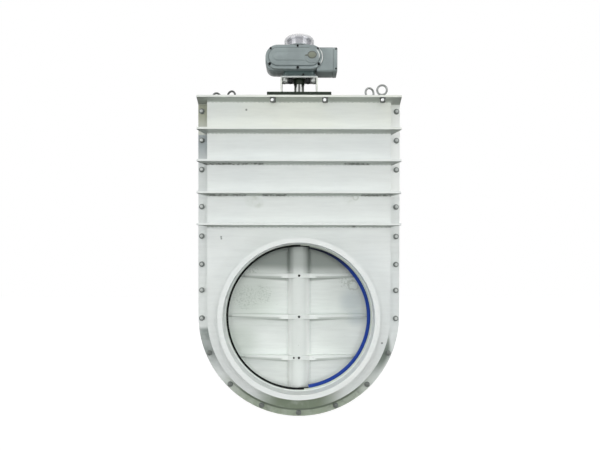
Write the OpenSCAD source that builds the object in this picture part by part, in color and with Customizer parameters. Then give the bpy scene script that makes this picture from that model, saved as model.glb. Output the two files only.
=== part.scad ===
// Electric square gate valve: a flat ribbed gate slides up and down in a fabricated
// steel body with a half-round bottom and a square top, lifted by a screw that an
// electric actuator turns. Sizes are in millimetres. The origin is the centre of the
// rear port face, +Z is up and the front of the valve looks along -Y.

/* [Port] */
// Inside radius of both ports
port_r = 300; // [200:5:340]
// Wall of the port necks
neck_wall = 6; // [4:1:12]
// Radial width of the ring round each port's mouth, outside the neck
ring_w = 14; // [8:1:40]
// Thickness of the port rings
ring_t = 12; // [6:1:24]
// Distance between the two port faces
face_to_face = 260; // [220:5:400]

/* [Body] */
// Distance between the outer faces of the two body plates
body_depth = 120; // [118:2:180]
// Thickness of the body plates and side walls
plate_t = 6; // [4:1:10]
// Gap between the gate's edge and its guide rails
guide_gap = 0.5; // [0.3:0.1:2]
// Width of the guide rails, from the gate's edge to the side wall
guide_w = 43; // [30:1:60]
// Depth of the guide rails along the duct
guide_depth = 40; // [20:2:80]
// Wall of the guide rails
guide_t = 6; // [4:1:10]

/* [Flanges and gasket] */
// Width of the bolted side flange
flange_w = 45; // [36:1:70]
// Thickness of each bolted side flange
flange_t = 8; // [5:1:16]
// Thickness of the gasket between the two body halves
gasket_t = 3; // [2:1:6]

/* [Stiffening ribs] */
// Ribs on each side of the body
rib_count = 4; // [2:1:4]
// Thickness of each rib
rib_t = 8; // [5:1:14]
// Distance that the ribs and the top plate stand out from the body plates
rib_depth = 54; // [36:2:80]
// Height of the lowest rib above the port ring
rib_port_gap = 50; // [20:2:80]
// Distance that the rib ends reach past the side walls
rib_overhang = 33; // [12:1:36]
// Straight part of each rib's end before it slopes back to the flange
rib_end = 14; // [6:1:24]

/* [Top plate and base] */
// Thickness of the top plate
top_t = 8; // [6:1:16]
// Length of the black actuator base along X
base_x = 256; // [200:2:320]
// Length of the black actuator base along Y
base_y = 192; // [150:2:220]
// Thickness of the black actuator base
base_t = 14; // [8:1:24]
// Thickness of the seal under the base
base_seal_t = 4; // [2:1:8]
// Outer radius of the stem's gland ring
gland_r = 36; // [32:1:50]
// Height of the stem's gland ring
gland_h = 10; // [6:1:30]

/* [Gate] */
// Thickness of the gate plate
gate_t = 10; // [6:1:16]
// Distance that the gate's edge reaches past the port
gate_lap = 22; // [16:1:40]
// Width of the edge bar round the gate
gate_bar_w = 10; // [6:1:16]
// Gap between the gate's edge bar and each port seal
seal_gap = 0.5; // [0.3:0.1:2]
// Outer radius of the gate's centre pipe
pipe_r = 44.5; // [38:0.5:46]
// Wall of the gate's centre pipe
pipe_wall = 6; // [4:1:10]
// Distance between the gate's cross ribs
gate_rib_pitch = 168; // [120:2:180]
// Thickness of the gate's cross ribs
gate_rib_t = 18; // [8:1:24]
// Depth of the cross ribs at their outer ends
gate_rib_tip = 10; // [6:1:20]
// Distance from the cross ribs' ends to the port's wall
gate_rib_end_gap = 22; // [18:1:60]
// Distance that the cross ribs stand out over the centre pipe
gate_rib_over = 2; // [1:0.5:3]
// Distance that the gate lifts from closed to open
gate_lift = 545; // [400:5:545]
// Gap over the open gate, under the top plate
lift_gap = 7; // [6:1:40]

/* [Port seals and trims] */
// Thickness of the flat seals behind the body plates
seal_t = 5.5; // [4:0.5:6]
// Distance from each flat seal's inner edge to the port's wall
seal_set = 2; // [1:1:8]
// Width of the lip inside each port
lip_w = 10; // [8:1:14]
// Thickness of the lip
lip_t = 6; // [4:1:8]
// Distance from the body plate's inner face to the lip
lip_back = 3; // [3:1:8]
// Extra radius of the neck behind the seat of a duct's spigot
seat_relief = 0.6; // [0.4:0.2:2]
// Distance from the trims to that seat
seat_gap = 0.5; // [0.5:0.5:4]
// Rubber on each side of the lip
trim_t = 2.5; // [2:0.5:3]
// Clearance between the lip's edge and the groove in the trims
trim_fit = 0.3; // [0.1:0.1:1]
// Width of the lip that the trims cover
trim_cover = 6; // [4:1:7]
// Rubber of the black trims inside the lip's edge
trim_in = 4; // [3:1:8]
// The same for the wide blue trim
wide_trim_in = 14; // [8:1:16]
// Place along X where the front's black trim ends
trim_end = 12; // [6:1:16]
// Place along X where the front's blue trim starts
wide_trim_start = 40; // [20:1:60]

/* [Stem] */
// Radius of the stem
stem_r = 20.5; // [16:0.5:26]
// Distance that the screw reaches below the stem nut when the gate is closed
stem_tail = 15; // [5:1:15]
// Height of the stem nut
nut_h = 40; // [30:1:70]
// Radial clearance between the stem and what it turns in
stem_fit = 0.05; // [0.02:0.01:0.10]
// Radius of the drive coupling above the stem
coupling_r = 34; // [28:1:44]
// Height of the drive coupling
coupling_h = 27; // [16:1:40]
// Gap under a piece that turns on a fixed one
turn_gap = 0.3; // [0.2:0.1:1]

/* [Actuator bracket] */
// Clear height from the base to the bracket's top plate
bracket_h = 75; // [65:1:120]
// Distance between the outer faces of the bracket's side plates
bracket_w = 152; // [130:2:190]
// Depth of the bracket along Y
bracket_depth = 84; // [70:2:110]
// Thickness of the bracket's plates
bracket_t = 6; // [4:1:10]
// Width of the actuator's foot
foot_w = 142; // [120:2:160]
// Height of the actuator's foot
foot_h = 21; // [12:1:40]

/* [Actuator] */
// Height of the gear housing
housing_h = 100; // [80:2:140]
// Width of the gear housing, round ends included
housing_w = 234; // [180:1:280]
// Depth of the gear housing along Y
housing_depth = 84; // [70:2:110]
// Distance that the housing's left end lies from the stem axis
housing_left = 137; // [100:1:160]
// Distance that the housing's back face lies behind the stem axis
housing_back = 36; // [30:1:50]
// Thickness of the front cover
cover_t = 12; // [8:1:24]
// Height of the raised panel on the front cover
panel_t = 4; // [2:1:8]
// Width of the border round the raised panel
panel_border = 12; // [8:1:20]
// Width of the motor housing along X
motor_w = 58; // [36:1:90]
// Height of the motor housing
motor_h = 99; // [70:1:110]
// Distance that the motor's middle lies below the gear housing's
motor_drop = 6; // [0:1:10]
// Depth of the motor housing
motor_depth = 88; // [60:2:110]
// Width of the motor's end cap
motor_cap_w = 10; // [6:1:20]

/* [Position indicator] */
// Outer radius of the clear dome
dome_r = 61; // [60:1:70]
// Height of the clear dome
dome_h = 46; // [42:1:90]
// Wall of the clear dome
dome_wall = 4; // [3:1:6]
// Radius of the dome's rounded shoulder
dome_shoulder = 13; // [10:1:18]
// Radius of the indicator drum
drum_r = 51; // [30:1:52]
// Height of the indicator drum
drum_h = 35; // [24:1:36]

/* [Lifting eyes] */
// Mean radius of each lifting eye's ring
eye_r = 19; // [14:1:26]
// Radius of the lifting eye's bar
eye_bar_r = 4; // [3:0.5:6]
// Height of the lifting eye's shank above the top plate
eye_shank = 6; // [3:1:12]

/* [Hidden] */

round_fn = 96;
edge_fn = 32;

// Middle of the valve along the duct
mid_y = -face_to_face / 2;

// Gate outline, which sets the inside of the body
gate_r = port_r + gate_lap;
wall_in = gate_r + guide_gap + guide_w;
body_r = wall_in + plate_t;
flange_r = body_r + flange_w;

// Depths from the middle of the valve
plate_out = body_depth / 2;
plate_in = plate_out - plate_t;
flange_in = gasket_t / 2;
flange_out = flange_in + flange_t;
rib_out = plate_out + rib_depth;
neck_r = port_r + neck_wall;
gate_bar_out = plate_in - seal_t - seal_gap;
lip_in = plate_in + lip_back;
lip_out = lip_in + lip_t;

// Heights above the port centre
body_top = gate_r + gate_lift + lift_gap;
rib_pitch = (body_top - neck_r - ring_w - rib_port_gap) / rib_count;
top_z = body_top + top_t;
base_z = top_z + base_seal_t;
bracket_z = base_z + base_t;
bracket_top_z = bracket_z + bracket_h;
foot_z = bracket_top_z + bracket_t;
housing_z = foot_z + foot_h;
dome_z = housing_z + housing_h;
stem_bottom = gate_r - nut_h - stem_tail;
coupling_z = bracket_top_z + bracket_t - coupling_h;
hole_r = stem_r + stem_fit;

// Actuator places
housing_right = housing_w - housing_left;
housing_front = housing_depth - housing_back;
housing_mid_z = housing_z + housing_h / 2;
motor_x = housing_right - housing_h / 2;
motor_end = housing_right + motor_w;
motor_z = housing_mid_z - motor_h / 2 - motor_drop;

// Lifting eyes: place on the top plate and turn about the vertical
eye_places = [[-344, 24, 36], [-281, -2, -30], [286, -46, 25], [331, -83, -5]];

steel_white = [0.84, 0.87, 0.84];
gate_white = [0.78, 0.81, 0.76];
rubber_black = [0.10, 0.11, 0.11];
trim_blue = [0.13, 0.24, 0.50];
base_black = [0.11, 0.14, 0.11];
dark_steel = [0.30, 0.32, 0.30];
bright_steel = [0.72, 0.74, 0.74];
cast_grey = [0.56, 0.59, 0.60];
clear_plastic = [0.85, 0.87, 0.88, 0.4];

// Moves a piece from the middle of the valve to the part's own frame
module in_body() {
    translate([0, mid_y, 0]) children();
}

// Repeats a front piece at the rear
module at_rear() {
    mirror([0, 1, 0]) children();
}

// Outline with a half-round bottom and straight sides, seen from the front
module arch(r, top) {
    circle(r, $fn = round_fn);
    translate([-r, 0]) square([2 * r, top]);
}

// Upright slab of an outline, from one depth to another behind the front
module slab(y0, y1) {
    translate([0, y1, 0]) rotate([90, 0, 0]) linear_extrude(y1 - y0) children();
}

// Round ring on the port's axis
module port_tube(r_out, r_in, y0, y1) {
    slab(y0, y1) difference() {
        circle(r_out, $fn = round_fn);
        circle(r_in, $fn = round_fn);
    }
}

// One body plate with the hole for its port neck
module body_plate() {
    slab(-plate_out, -plate_in) difference() {
        arch(body_r, body_top);
        circle(neck_r, $fn = round_fn);
    }
}

// Side wall that closes one half of the body, open at the top
module side_wall() {
    slab(-plate_in, -flange_in) difference() {
        arch(body_r, body_top);
        arch(wall_in, body_top + 1);
    }
}

// Bolted flange round one half of the body
module side_flange() {
    slab(-flange_out, -flange_in) difference() {
        arch(flange_r, body_top);
        arch(body_r, body_top + 1);
    }
}

// Stiffening ribs across one body plate, with ends that slope back to the flange
module body_ribs() {
    rib_x = body_r + rib_overhang;
    for (number = [1 : rib_count])
        translate([0, 0, body_top - number * rib_pitch]) linear_extrude(rib_t) polygon([
            [-rib_x, -rib_out], [rib_x, -rib_out], [rib_x, -rib_out + rib_end],
            [body_r + rib_t, -flange_out], [body_r, -flange_out], [body_r, -plate_out],
            [-body_r, -plate_out], [-body_r, -flange_out], [-body_r - rib_t, -flange_out],
            [-rib_x, -rib_out + rib_end]
        ]);
}

// Port neck from the port's face to the inside of the body, with its lip
module port_neck() {
    difference() {
        port_tube(neck_r, port_r, mid_y, -plate_in);
        slab(-lip_out - trim_t - seat_gap, 1 - plate_in)
            circle(port_r + seat_relief, $fn = round_fn);
    }
    port_tube(port_r + neck_wall / 2, port_r - lip_w, -lip_out, -lip_in);
}

// Flat seal that the gate's edge bar runs on
module port_seal() {
    port_tube(gate_r, port_r + seal_set, -plate_in, seal_t - plate_in);
}

// Edge trim clipped over the lip, cut to the part of the circle between two places along X
module port_trim(inside, x_from, x_to) {
    lip_r = port_r - lip_w;
    difference() {
        slab(-lip_out - trim_t, trim_t - lip_in) intersection() {
            difference() {
                circle(lip_r + trim_cover, $fn = round_fn);
                circle(lip_r - inside, $fn = round_fn);
            }
            translate([x_from, -port_r]) square([x_to - x_from, 2 * port_r]);
        }
        port_tube(port_r, lip_r - trim_fit, -lip_out, -lip_in);
    }
}

module front_plate() {
    color(steel_white) in_body() body_plate();
}

module rear_plate() {
    color(steel_white) in_body() at_rear() body_plate();
}

module front_side_wall() {
    color(steel_white) in_body() side_wall();
}

module rear_side_wall() {
    color(steel_white) in_body() at_rear() side_wall();
}

module front_flange() {
    color(steel_white) in_body() side_flange();
}

module rear_flange() {
    color(steel_white) in_body() at_rear() side_flange();
}

module front_neck() {
    color(steel_white) in_body() port_neck();
}

module rear_neck() {
    color(steel_white) in_body() at_rear() port_neck();
}

module front_ring() {
    color(steel_white) in_body() port_tube(neck_r + ring_w, neck_r, mid_y, mid_y + ring_t);
}

module rear_ring() {
    color(steel_white) in_body() at_rear()
        port_tube(neck_r + ring_w, neck_r, mid_y, mid_y + ring_t);
}

module front_ribs() {
    color(steel_white) in_body() body_ribs();
}

module rear_ribs() {
    color(steel_white) in_body() at_rear() body_ribs();
}

module front_seal() {
    color(rubber_black) in_body() port_seal();
}

module rear_seal() {
    color(rubber_black) in_body() at_rear() port_seal();
}

module front_trim_left() {
    color(rubber_black) in_body() port_trim(trim_in, -port_r, trim_end);
}

module front_trim_right() {
    color(trim_blue) in_body() port_trim(wide_trim_in, wide_trim_start, port_r);
}

module rear_trim() {
    color(rubber_black) in_body() at_rear() port_trim(trim_in, -port_r, port_r);
}

module flange_gasket() {
    color(rubber_black) in_body() slab(-flange_in, flange_in) difference() {
        arch(flange_r, body_top);
        arch(wall_in, body_top + 1);
    }
}

// Channel on the inside of the right side wall that keeps the gate in line
module guide_rail() {
    color(dark_steel) in_body() translate([gate_r + guide_gap, 0, 0]) difference() {
        translate([0, -guide_depth / 2, 0]) cube([guide_w, guide_depth, body_top]);
        translate([guide_t, guide_t - guide_depth / 2, -1])
            cube([guide_w, guide_depth - 2 * guide_t, body_top + 2]);
    }
}

module guide_rail_left() {
    mirror([1, 0, 0]) guide_rail();
}

module guide_rail_right() {
    guide_rail();
}

// Plate over the body, as wide as the flange in the middle and as the ribs at its edges
module top_plate() {
    half_x = body_r + rib_overhang;
    corners = [[half_x, -rib_out], [flange_r, -flange_out], [flange_r, flange_out],
        [half_x, rib_out]];
    far_corners = [for (n = [3:-1:0]) [-corners[n][0], corners[n][1]]];
    color(steel_white) in_body() translate([0, 0, body_top]) linear_extrude(top_t)
        difference() {
            polygon(concat(corners, far_corners));
            circle(hole_r + 2, $fn = round_fn);
        }
}

// Square plate round the stem
module stem_plate(size_x, size_y, thick, z) {
    translate([0, 0, z]) difference() {
        translate([-size_x / 2, -size_y / 2, 0]) cube([size_x, size_y, thick]);
        translate([0, 0, -1]) cylinder(r = hole_r, h = thick + 2, $fn = round_fn);
    }
}

module base_seal() {
    color(rubber_black) in_body() stem_plate(base_x, base_y, base_seal_t, top_z);
}

module base_plate() {
    color(base_black) in_body() stem_plate(base_x, base_y, base_t, base_z);
}

module gland_ring() {
    color(base_black) in_body() translate([0, 0, bracket_z]) difference() {
        cylinder(r = gland_r, h = gland_h, $fn = round_fn);
        translate([0, 0, -1]) cylinder(r = hole_r, h = gland_h + 2, $fn = round_fn);
    }
}

// Lifting eye: a round bar bent to a ring on a short shank with a collar
module eye_bolt() {
    translate([0, 0, eye_shank + eye_bar_r + eye_r]) rotate([90, 0, 0])
        rotate_extrude($fn = edge_fn * 2) translate([eye_r, 0]) circle(eye_bar_r, $fn = edge_fn);
    cylinder(r = eye_bar_r * 1.5, h = eye_shank + eye_bar_r, $fn = edge_fn);
    cylinder(r = eye_bar_r * 2.5, h = eye_shank / 2, $fn = edge_fn);
}

module lifting_eye(number) {
    place = eye_places[number - 1];
    color(dark_steel) in_body()
        translate([place[0], place[1], top_z]) rotate([0, 0, place[2]]) eye_bolt();
}

// Right side plate of the bracket that carries the actuator
module bracket_side() {
    color(steel_white) in_body()
        translate([bracket_w / 2 - bracket_t, -bracket_depth / 2, bracket_z])
            cube([bracket_t, bracket_depth, bracket_h]);
}

module bracket_left() {
    mirror([1, 0, 0]) bracket_side();
}

module bracket_right() {
    bracket_side();
}

module bracket_top() {
    color(steel_white) in_body() translate([0, 0, bracket_top_z]) difference() {
        translate([-bracket_w / 2, -bracket_depth / 2, 0])
            cube([bracket_w, bracket_depth, bracket_t]);
        translate([0, 0, -1])
            cylinder(r = coupling_r + 2, h = bracket_t + 2, $fn = round_fn);
    }
}

module actuator_foot() {
    color(cast_grey) in_body() translate([-foot_w / 2, -bracket_depth / 2, foot_z])
        cube([foot_w, bracket_depth, foot_h]);
}

// Outline of the gear housing: straight above and below, round at both ends
module housing_outline(inset) {
    end_r = housing_h / 2;
    r = end_r - inset;
    translate([end_r - housing_left, housing_mid_z]) circle(r, $fn = round_fn);
    translate([housing_right - end_r, housing_mid_z]) circle(r, $fn = round_fn);
    translate([end_r - housing_left, housing_mid_z - r])
        square([housing_w - 2 * end_r, 2 * r]);
}

module gear_housing() {
    color(cast_grey) in_body() slab(-housing_front, housing_back) housing_outline(0);
}

module front_cover() {
    color(cast_grey) in_body() {
        slab(-housing_front - cover_t, -housing_front) housing_outline(0);
        slab(-housing_front - cover_t - panel_t, -housing_front - cover_t)
            housing_outline(panel_border);
    }
}

// Motor housing: a box hollowed on one side to sit against the round end of the gears
module motor_housing() {
    color(cast_grey) in_body() slab(housing_back - motor_depth, housing_back) difference() {
        translate([motor_x, motor_z]) square([motor_end - motor_cap_w - motor_x, motor_h]);
        housing_outline(0);
        translate([motor_x - 1, motor_z - 1]) square([1 + housing_h / 4, motor_h + 2]);
    }
}

module motor_cap() {
    color(cast_grey) in_body() slab(housing_back - motor_depth, housing_back)
        translate([motor_end - motor_cap_w, motor_z]) square([motor_cap_w, motor_h]);
}

// Outline of half of the dome, from its axis outwards
module dome_profile(r, h, shoulder) {
    square([r - shoulder, h]);
    square([r, h - shoulder]);
    translate([r - shoulder, h - shoulder]) circle(shoulder, $fn = edge_fn * 2);
}

module dome() {
    inner = dome_shoulder - dome_wall;
    color(clear_plastic) in_body() translate([0, 0, dome_z])
        rotate_extrude($fn = round_fn) intersection() {
            difference() {
                dome_profile(dome_r, dome_h, dome_shoulder);
                translate([0, -1]) dome_profile(dome_r - dome_wall, dome_h - dome_wall + 1, inner);
            }
            square([dome_r, dome_h]);
        }
}

module indicator_drum() {
    color("white") in_body() translate([0, 0, dome_z + turn_gap])
        cylinder(r = drum_r, h = drum_h, $fn = round_fn);
}

module stem() {
    color(bright_steel) in_body() translate([0, 0, stem_bottom])
        cylinder(r = stem_r, h = coupling_z - stem_bottom, $fn = round_fn);
}

module drive_coupling() {
    color(base_black) in_body() translate([0, 0, coupling_z])
        cylinder(r = coupling_r, h = coupling_h - turn_gap, $fn = round_fn);
}

// Gate outline with a half-round bottom and a square top
module gate_outline(r) {
    arch(r, r);
}

module gate_plate() {
    inner = gate_r - gate_bar_w;
    color(gate_white) in_body() slab(-gate_t / 2, gate_t / 2) difference() {
        gate_outline(inner);
        translate([-pipe_r, -inner - 1]) square([2 * pipe_r, 2 * inner + 2]);
    }
}

module gate_edge_bar() {
    inner = gate_r - gate_bar_w;
    color(gate_white) in_body() difference() {
        slab(-gate_bar_out, gate_bar_out) difference() {
            gate_outline(gate_r);
            gate_outline(inner);
        }
        translate([0, 0, inner - 1]) cylinder(r = pipe_r, h = gate_bar_w + 2, $fn = round_fn);
    }
}

module gate_pipe() {
    inner = gate_r - gate_bar_w;
    bottom = -sqrt(inner * inner - pipe_r * pipe_r);
    color(gate_white) in_body() translate([0, 0, bottom]) difference() {
        cylinder(r = pipe_r, h = gate_r - bottom, $fn = round_fn);
        translate([0, 0, pipe_wall])
            cylinder(r = pipe_r - pipe_wall, h = gate_r - bottom, $fn = round_fn);
    }
}

// Cross ribs on both faces of the gate plate, deepest at the centre pipe
module gate_cross_ribs() {
    reach = port_r - gate_rib_end_gap;
    color(gate_white) in_body() for (side = [0, 1], row = [-1, 0, 1]) {
        z = row * gate_rib_pitch;
        half = sqrt(reach * reach - z * z);
        mirror([0, side, 0]) translate([0, 0, z - gate_rib_t / 2])
            linear_extrude(gate_rib_t) difference() {
                polygon([
                    [-half, gate_t / 2], [half, gate_t / 2],
                    [half, gate_t / 2 + gate_rib_tip],
                    [pipe_r, pipe_r + gate_rib_over], [-pipe_r, pipe_r + gate_rib_over],
                    [-half, gate_t / 2 + gate_rib_tip]
                ]);
                circle(pipe_r, $fn = round_fn);
            }
    }
}

module stem_nut() {
    color("goldenrod") in_body() translate([0, 0, gate_r - nut_h]) difference() {
        cylinder(r = pipe_r - pipe_wall, h = nut_h, $fn = round_fn);
        translate([0, 0, -1]) cylinder(r = hole_r, h = nut_h + 2, $fn = round_fn);
    }
}

front_plate();
front_side_wall();
front_flange();
front_neck();
front_ring();
front_ribs();
front_seal();
front_trim_left();
front_trim_right();
rear_plate();
rear_side_wall();
rear_flange();
rear_neck();
rear_ring();
rear_ribs();
rear_seal();
rear_trim();
flange_gasket();
guide_rail_left();
guide_rail_right();
top_plate();
base_seal();
base_plate();
gland_ring();
lifting_eye(1);  // lifting_eye_1
lifting_eye(2);  // lifting_eye_2
lifting_eye(3);  // lifting_eye_3
lifting_eye(4);  // lifting_eye_4
bracket_left();
bracket_right();
bracket_top();
actuator_foot();
gear_housing();
front_cover();
motor_housing();
motor_cap();
dome();
indicator_drum();
stem();
drive_coupling();
gate_plate();
gate_edge_bar();
gate_pipe();
gate_cross_ribs();
stem_nut();
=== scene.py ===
"""Finishes, fasteners and fine detail of an electric square gate valve, laid out as an add-on.

Everything is in metres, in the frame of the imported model: the origin is the centre of the rear
port face, +Z is up and the front of the valve looks along -Y.
"""

import math
from collections import namedtuple
from functools import cached_property, partial

import bmesh
import bpy
from bpy.props import FloatProperty, FloatVectorProperty, IntProperty, PointerProperty
from mathutils import Matrix, Vector, noise


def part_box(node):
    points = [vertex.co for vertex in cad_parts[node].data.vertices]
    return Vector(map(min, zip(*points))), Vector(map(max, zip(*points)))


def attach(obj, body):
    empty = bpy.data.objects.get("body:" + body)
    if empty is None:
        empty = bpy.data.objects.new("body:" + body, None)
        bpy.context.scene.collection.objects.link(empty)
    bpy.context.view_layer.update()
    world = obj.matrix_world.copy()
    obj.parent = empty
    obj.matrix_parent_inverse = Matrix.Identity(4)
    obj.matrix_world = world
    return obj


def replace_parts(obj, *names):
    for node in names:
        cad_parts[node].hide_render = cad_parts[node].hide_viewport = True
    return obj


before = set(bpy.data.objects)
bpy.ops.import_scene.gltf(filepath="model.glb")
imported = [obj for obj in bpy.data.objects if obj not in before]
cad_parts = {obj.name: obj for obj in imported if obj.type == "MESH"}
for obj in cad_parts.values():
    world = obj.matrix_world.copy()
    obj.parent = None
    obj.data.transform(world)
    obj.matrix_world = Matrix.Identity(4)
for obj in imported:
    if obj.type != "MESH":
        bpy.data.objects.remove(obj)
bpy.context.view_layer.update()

bl_info = {
    "name": "Gate Valve Finishes",
    "version": (1, 0, 0),
    "blender": (4, 5, 0),
    "location": "3D View > Sidebar > Valve",
    "description": "Finishes, fasteners and fine detail of an electric square gate valve",
    "category": "Object",
}


# ---- Places, worked out from the frame ----

def low(node):
    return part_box(node)[0]


def high(node):
    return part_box(node)[1]


def centre(node):
    return (low(node) + high(node)) / 2


mid_y = (low("flange_gasket").y + high("flange_gasket").y) / 2
front_y = low("front_ring").y
trim_gap = 0.004           # between the black trim and the port's wall
port_r = (high("front_trim_left").z - low("front_trim_left").z) / 2 + trim_gap
neck_r = high("front_neck").x
plate_y = low("front_plate").y
body_r = high("front_plate").x
flange_r = high("front_flange").x
flange_y = low("front_flange").y
flange_rear_y = high("rear_flange").y
top_under = high("front_plate").z
rib_t = 0.008              # thickness of the body's ribs
rib_count = 4
rib_pitch = (top_under - low("front_ribs").z) / rib_count
stem_r = high("stem").x
gate_rib_y = low("gate_cross_ribs").y
gate_rib_half = 0.009


def gate_rib_rows():
    """Heights of the middles of the gate's cross ribs."""
    return (low("gate_cross_ribs").z + gate_rib_half, 0.0,
            high("gate_cross_ribs").z - gate_rib_half)


def housing_ends():
    """(left, right) places of the gear housing's round ends, their height and radius."""
    start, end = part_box("gear_housing")
    radius = (end.z - start.z) / 2
    return start.x + radius, end.x - radius, (end.z + start.z) / 2, radius


# ---- Mesh helpers ----

TINY = 1e-5
TURN = 2 * math.pi
CREASE = 0.5       # angle over which an edge counts as sharp
CORNER = 1.2       # angle over which an edge is a square corner
CORD_SIDES = 14

FRONT = Matrix.Rotation(math.pi / 2, 4, "X")
REAR = Matrix.Rotation(-math.pi / 2, 4, "X")
DOWN = Matrix.Rotation(math.pi, 4, "X")
RIGHT = Matrix.Rotation(math.pi / 2, 4, "Y")
FACES = ((-1, FRONT), (1, REAR))       # way along Y and turn of the front and the back


def at(x, y, z, turn=None):
    """A placing matrix: turned first, then moved."""
    moved = Matrix.Translation((x, y, z))
    return moved @ turn if turn else moved


def round_edges(part, edges, width, rounds=2):
    """Rounds the given edges of a bmesh."""
    bmesh.ops.bevel(
        part, geom=edges, offset=width, offset_type="OFFSET", segments=rounds, profile=0.5,
        affect="EDGES", material=-1, clamp_overlap=True)


def sharp_edges(part, angle=CREASE):
    """The edges between faces that meet at more than an angle."""
    return [e for e in part.edges if len(e.link_faces) == 2 and e.calc_face_angle(0) > angle]


def edges_at(part, height):
    """The sharp edges that lie at one height."""
    return [e for e in sharp_edges(part)
            if all(abs(v.co.z - height) < TINY for v in e.verts)]


def edges_along(part, axis):
    """The edges of a slab that run along one axis."""
    return [e for e in part.edges if abs(e.verts[0].co[axis] - e.verts[1].co[axis]) > TINY]


def puck(radius, height, edge=0.0, segments=24):
    """A short upright cylinder on the XY plane, rounded at its top edge."""
    part = bmesh.new()
    bmesh.ops.create_cone(
        part, cap_ends=True, cap_tris=False, segments=segments, radius1=radius,
        radius2=radius, depth=height, matrix=at(0, 0, height / 2))
    if edge:
        round_edges(part, edges_at(part, height), edge)
    return part


def slab(*size):
    """A box centred on the origin."""
    part = bmesh.new()
    bmesh.ops.create_cube(part, size=1)
    bmesh.ops.scale(part, vec=size, verts=part.verts)
    return part


def stadium(left, right, radius, segments=72):
    """A flat face in the XY plane, round at both ends, whose end circles are at two places."""
    part = bmesh.new()
    bmesh.ops.create_circle(
        part, cap_ends=True, segments=segments, radius=radius / math.cos(math.pi / segments),
        matrix=Matrix.Rotation(math.pi / segments, 4, "Z"))
    for vertex in part.verts:
        vertex.co.x += right if vertex.co.x > 0 else left
    return part


def raise_faces(part, faces, height):
    """Extrudes faces along +Z and gives the raised faces back."""
    grown = bmesh.ops.extrude_face_region(part, geom=faces)["geom"]
    verts = [g for g in grown if isinstance(g, bmesh.types.BMVert)]
    bmesh.ops.translate(part, vec=(0, 0, height), verts=verts)
    return [g for g in grown if isinstance(g, bmesh.types.BMFace)]


def spun(profile, segments):
    """Spins an outline of (radius, height) points round +Z."""
    part = bmesh.new()
    verts = [part.verts.new((r, 0, z)) for r, z in profile]
    edges = [part.edges.new(pair) for pair in zip(verts, verts[1:])]
    bmesh.ops.spin(
        part, geom=verts + edges, cent=(0, 0, 0), axis=(0, 0, 1), dvec=(0, 0, 0),
        angle=TURN, steps=segments, use_merge=True, use_duplicate=False)
    bmesh.ops.remove_doubles(part, verts=part.verts, dist=TINY)
    return part


def bent_tube(radius, across, along, start, angle, steps):
    """A rod of oval section bent round +Z, closed at its ends."""
    part = bmesh.new()
    bmesh.ops.create_circle(part, cap_ends=False, segments=CORD_SIDES, radius=1)
    shape = (Matrix.Rotation(start, 4, "Z") @ at(radius, 0, 0, FRONT)
             @ Matrix.Diagonal((across, along, 1, 1)))
    bmesh.ops.transform(part, matrix=shape, verts=part.verts)
    bmesh.ops.spin(
        part, geom=part.verts[:] + part.edges[:], cent=(0, 0, 0), axis=(0, 0, 1),
        dvec=(0, 0, 0), angle=angle, steps=steps, use_merge=False, use_duplicate=False)
    rims = [e for e in part.edges if len(e.link_faces) == 1]
    if rims:
        bmesh.ops.holes_fill(part, edges=rims, sides=CORD_SIDES)
    return part


def joined(copies):
    """One bmesh out of (part, placing matrices) pairs; the parts are freed."""
    whole = bmesh.new()
    for part, places in copies:
        stencil = bpy.data.meshes.new("stencil")
        part.to_mesh(stencil)
        part.free()
        for place in places:
            before = len(whole.verts)
            whole.from_mesh(stencil)
            whole.verts.ensure_lookup_table()
            bmesh.ops.transform(whole, matrix=place, verts=whole.verts[before:])
        bpy.data.meshes.remove(stencil)
    return whole


def add_object(name, part, material):
    """Turns a bmesh into an object of the scene."""
    mesh = bpy.data.meshes.new(name)
    part.to_mesh(mesh)
    part.free()
    mesh.materials.append(material)
    made = bpy.data.objects.new(name, mesh)
    bpy.context.scene.collection.objects.link(made)
    return made


def add_piece(name, kind, copies, body="body", smooth=0.6):
    """A finished piece out of (part, placing matrices) pairs, which rides on a body."""
    part = joined(copies)
    bmesh.ops.remove_doubles(part, verts=part.verts, dist=TINY / 10)
    bmesh.ops.recalc_face_normals(part, faces=part.faces)
    piece = add_object(name, part, finish(kind))
    piece.data.shade_smooth()
    piece.data.set_sharp_from_angle(angle=smooth)
    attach(piece, body)
    return piece


# ---- Shader helpers ----

XYZ = namedtuple("XYZ", "x y z")


class Wire:
    """A node's output; sums with wires and numbers add Math nodes to its tree."""

    def __init__(self, socket):
        self.socket = socket
        self.tree = socket.id_data

    def math(self, operation, *others):
        return add_node("Math", dict(enumerate((self, *others))), operation=operation)

    def __add__(self, other):
        return self.math("ADD", other)

    def __sub__(self, other):
        return self.math("SUBTRACT", other)

    def __rsub__(self, other):
        return add_node("Math", {0: other, 1: self}, operation="SUBTRACT")

    def __mul__(self, other):
        return self.math("MULTIPLY", other)

    def __truediv__(self, other):
        return self.math("DIVIDE", other)

    def __abs__(self):
        return self.math("ABSOLUTE")

    def span(self, start, end, to_start=0.0, to_end=1.0):
        """A smooth step from one number to another, as the value goes from start to end."""
        return add_node("MapRange", {
            "Value": self, "From Min": start, "From Max": end, "To Min": to_start,
            "To Max": to_end}, "Result", interpolation_type="SMOOTHSTEP")

    def window(self, start, end, soft):
        """1 between two numbers and 0 outside, with soft borders."""
        return (self.span(start - soft, start + soft)
                * self.span(end - soft, end + soft, 1.0, 0.0))

    def split(self):
        """The X, Y and Z of a vector."""
        parts = set_up(self.tree.nodes.new("ShaderNodeSeparateXYZ"), {0: self})
        return XYZ(*map(Wire, parts.outputs))

    def feed(self, node, key):
        """Links the wire to a node's input."""
        self.tree.links.new(self.socket, node.inputs[key])


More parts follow.
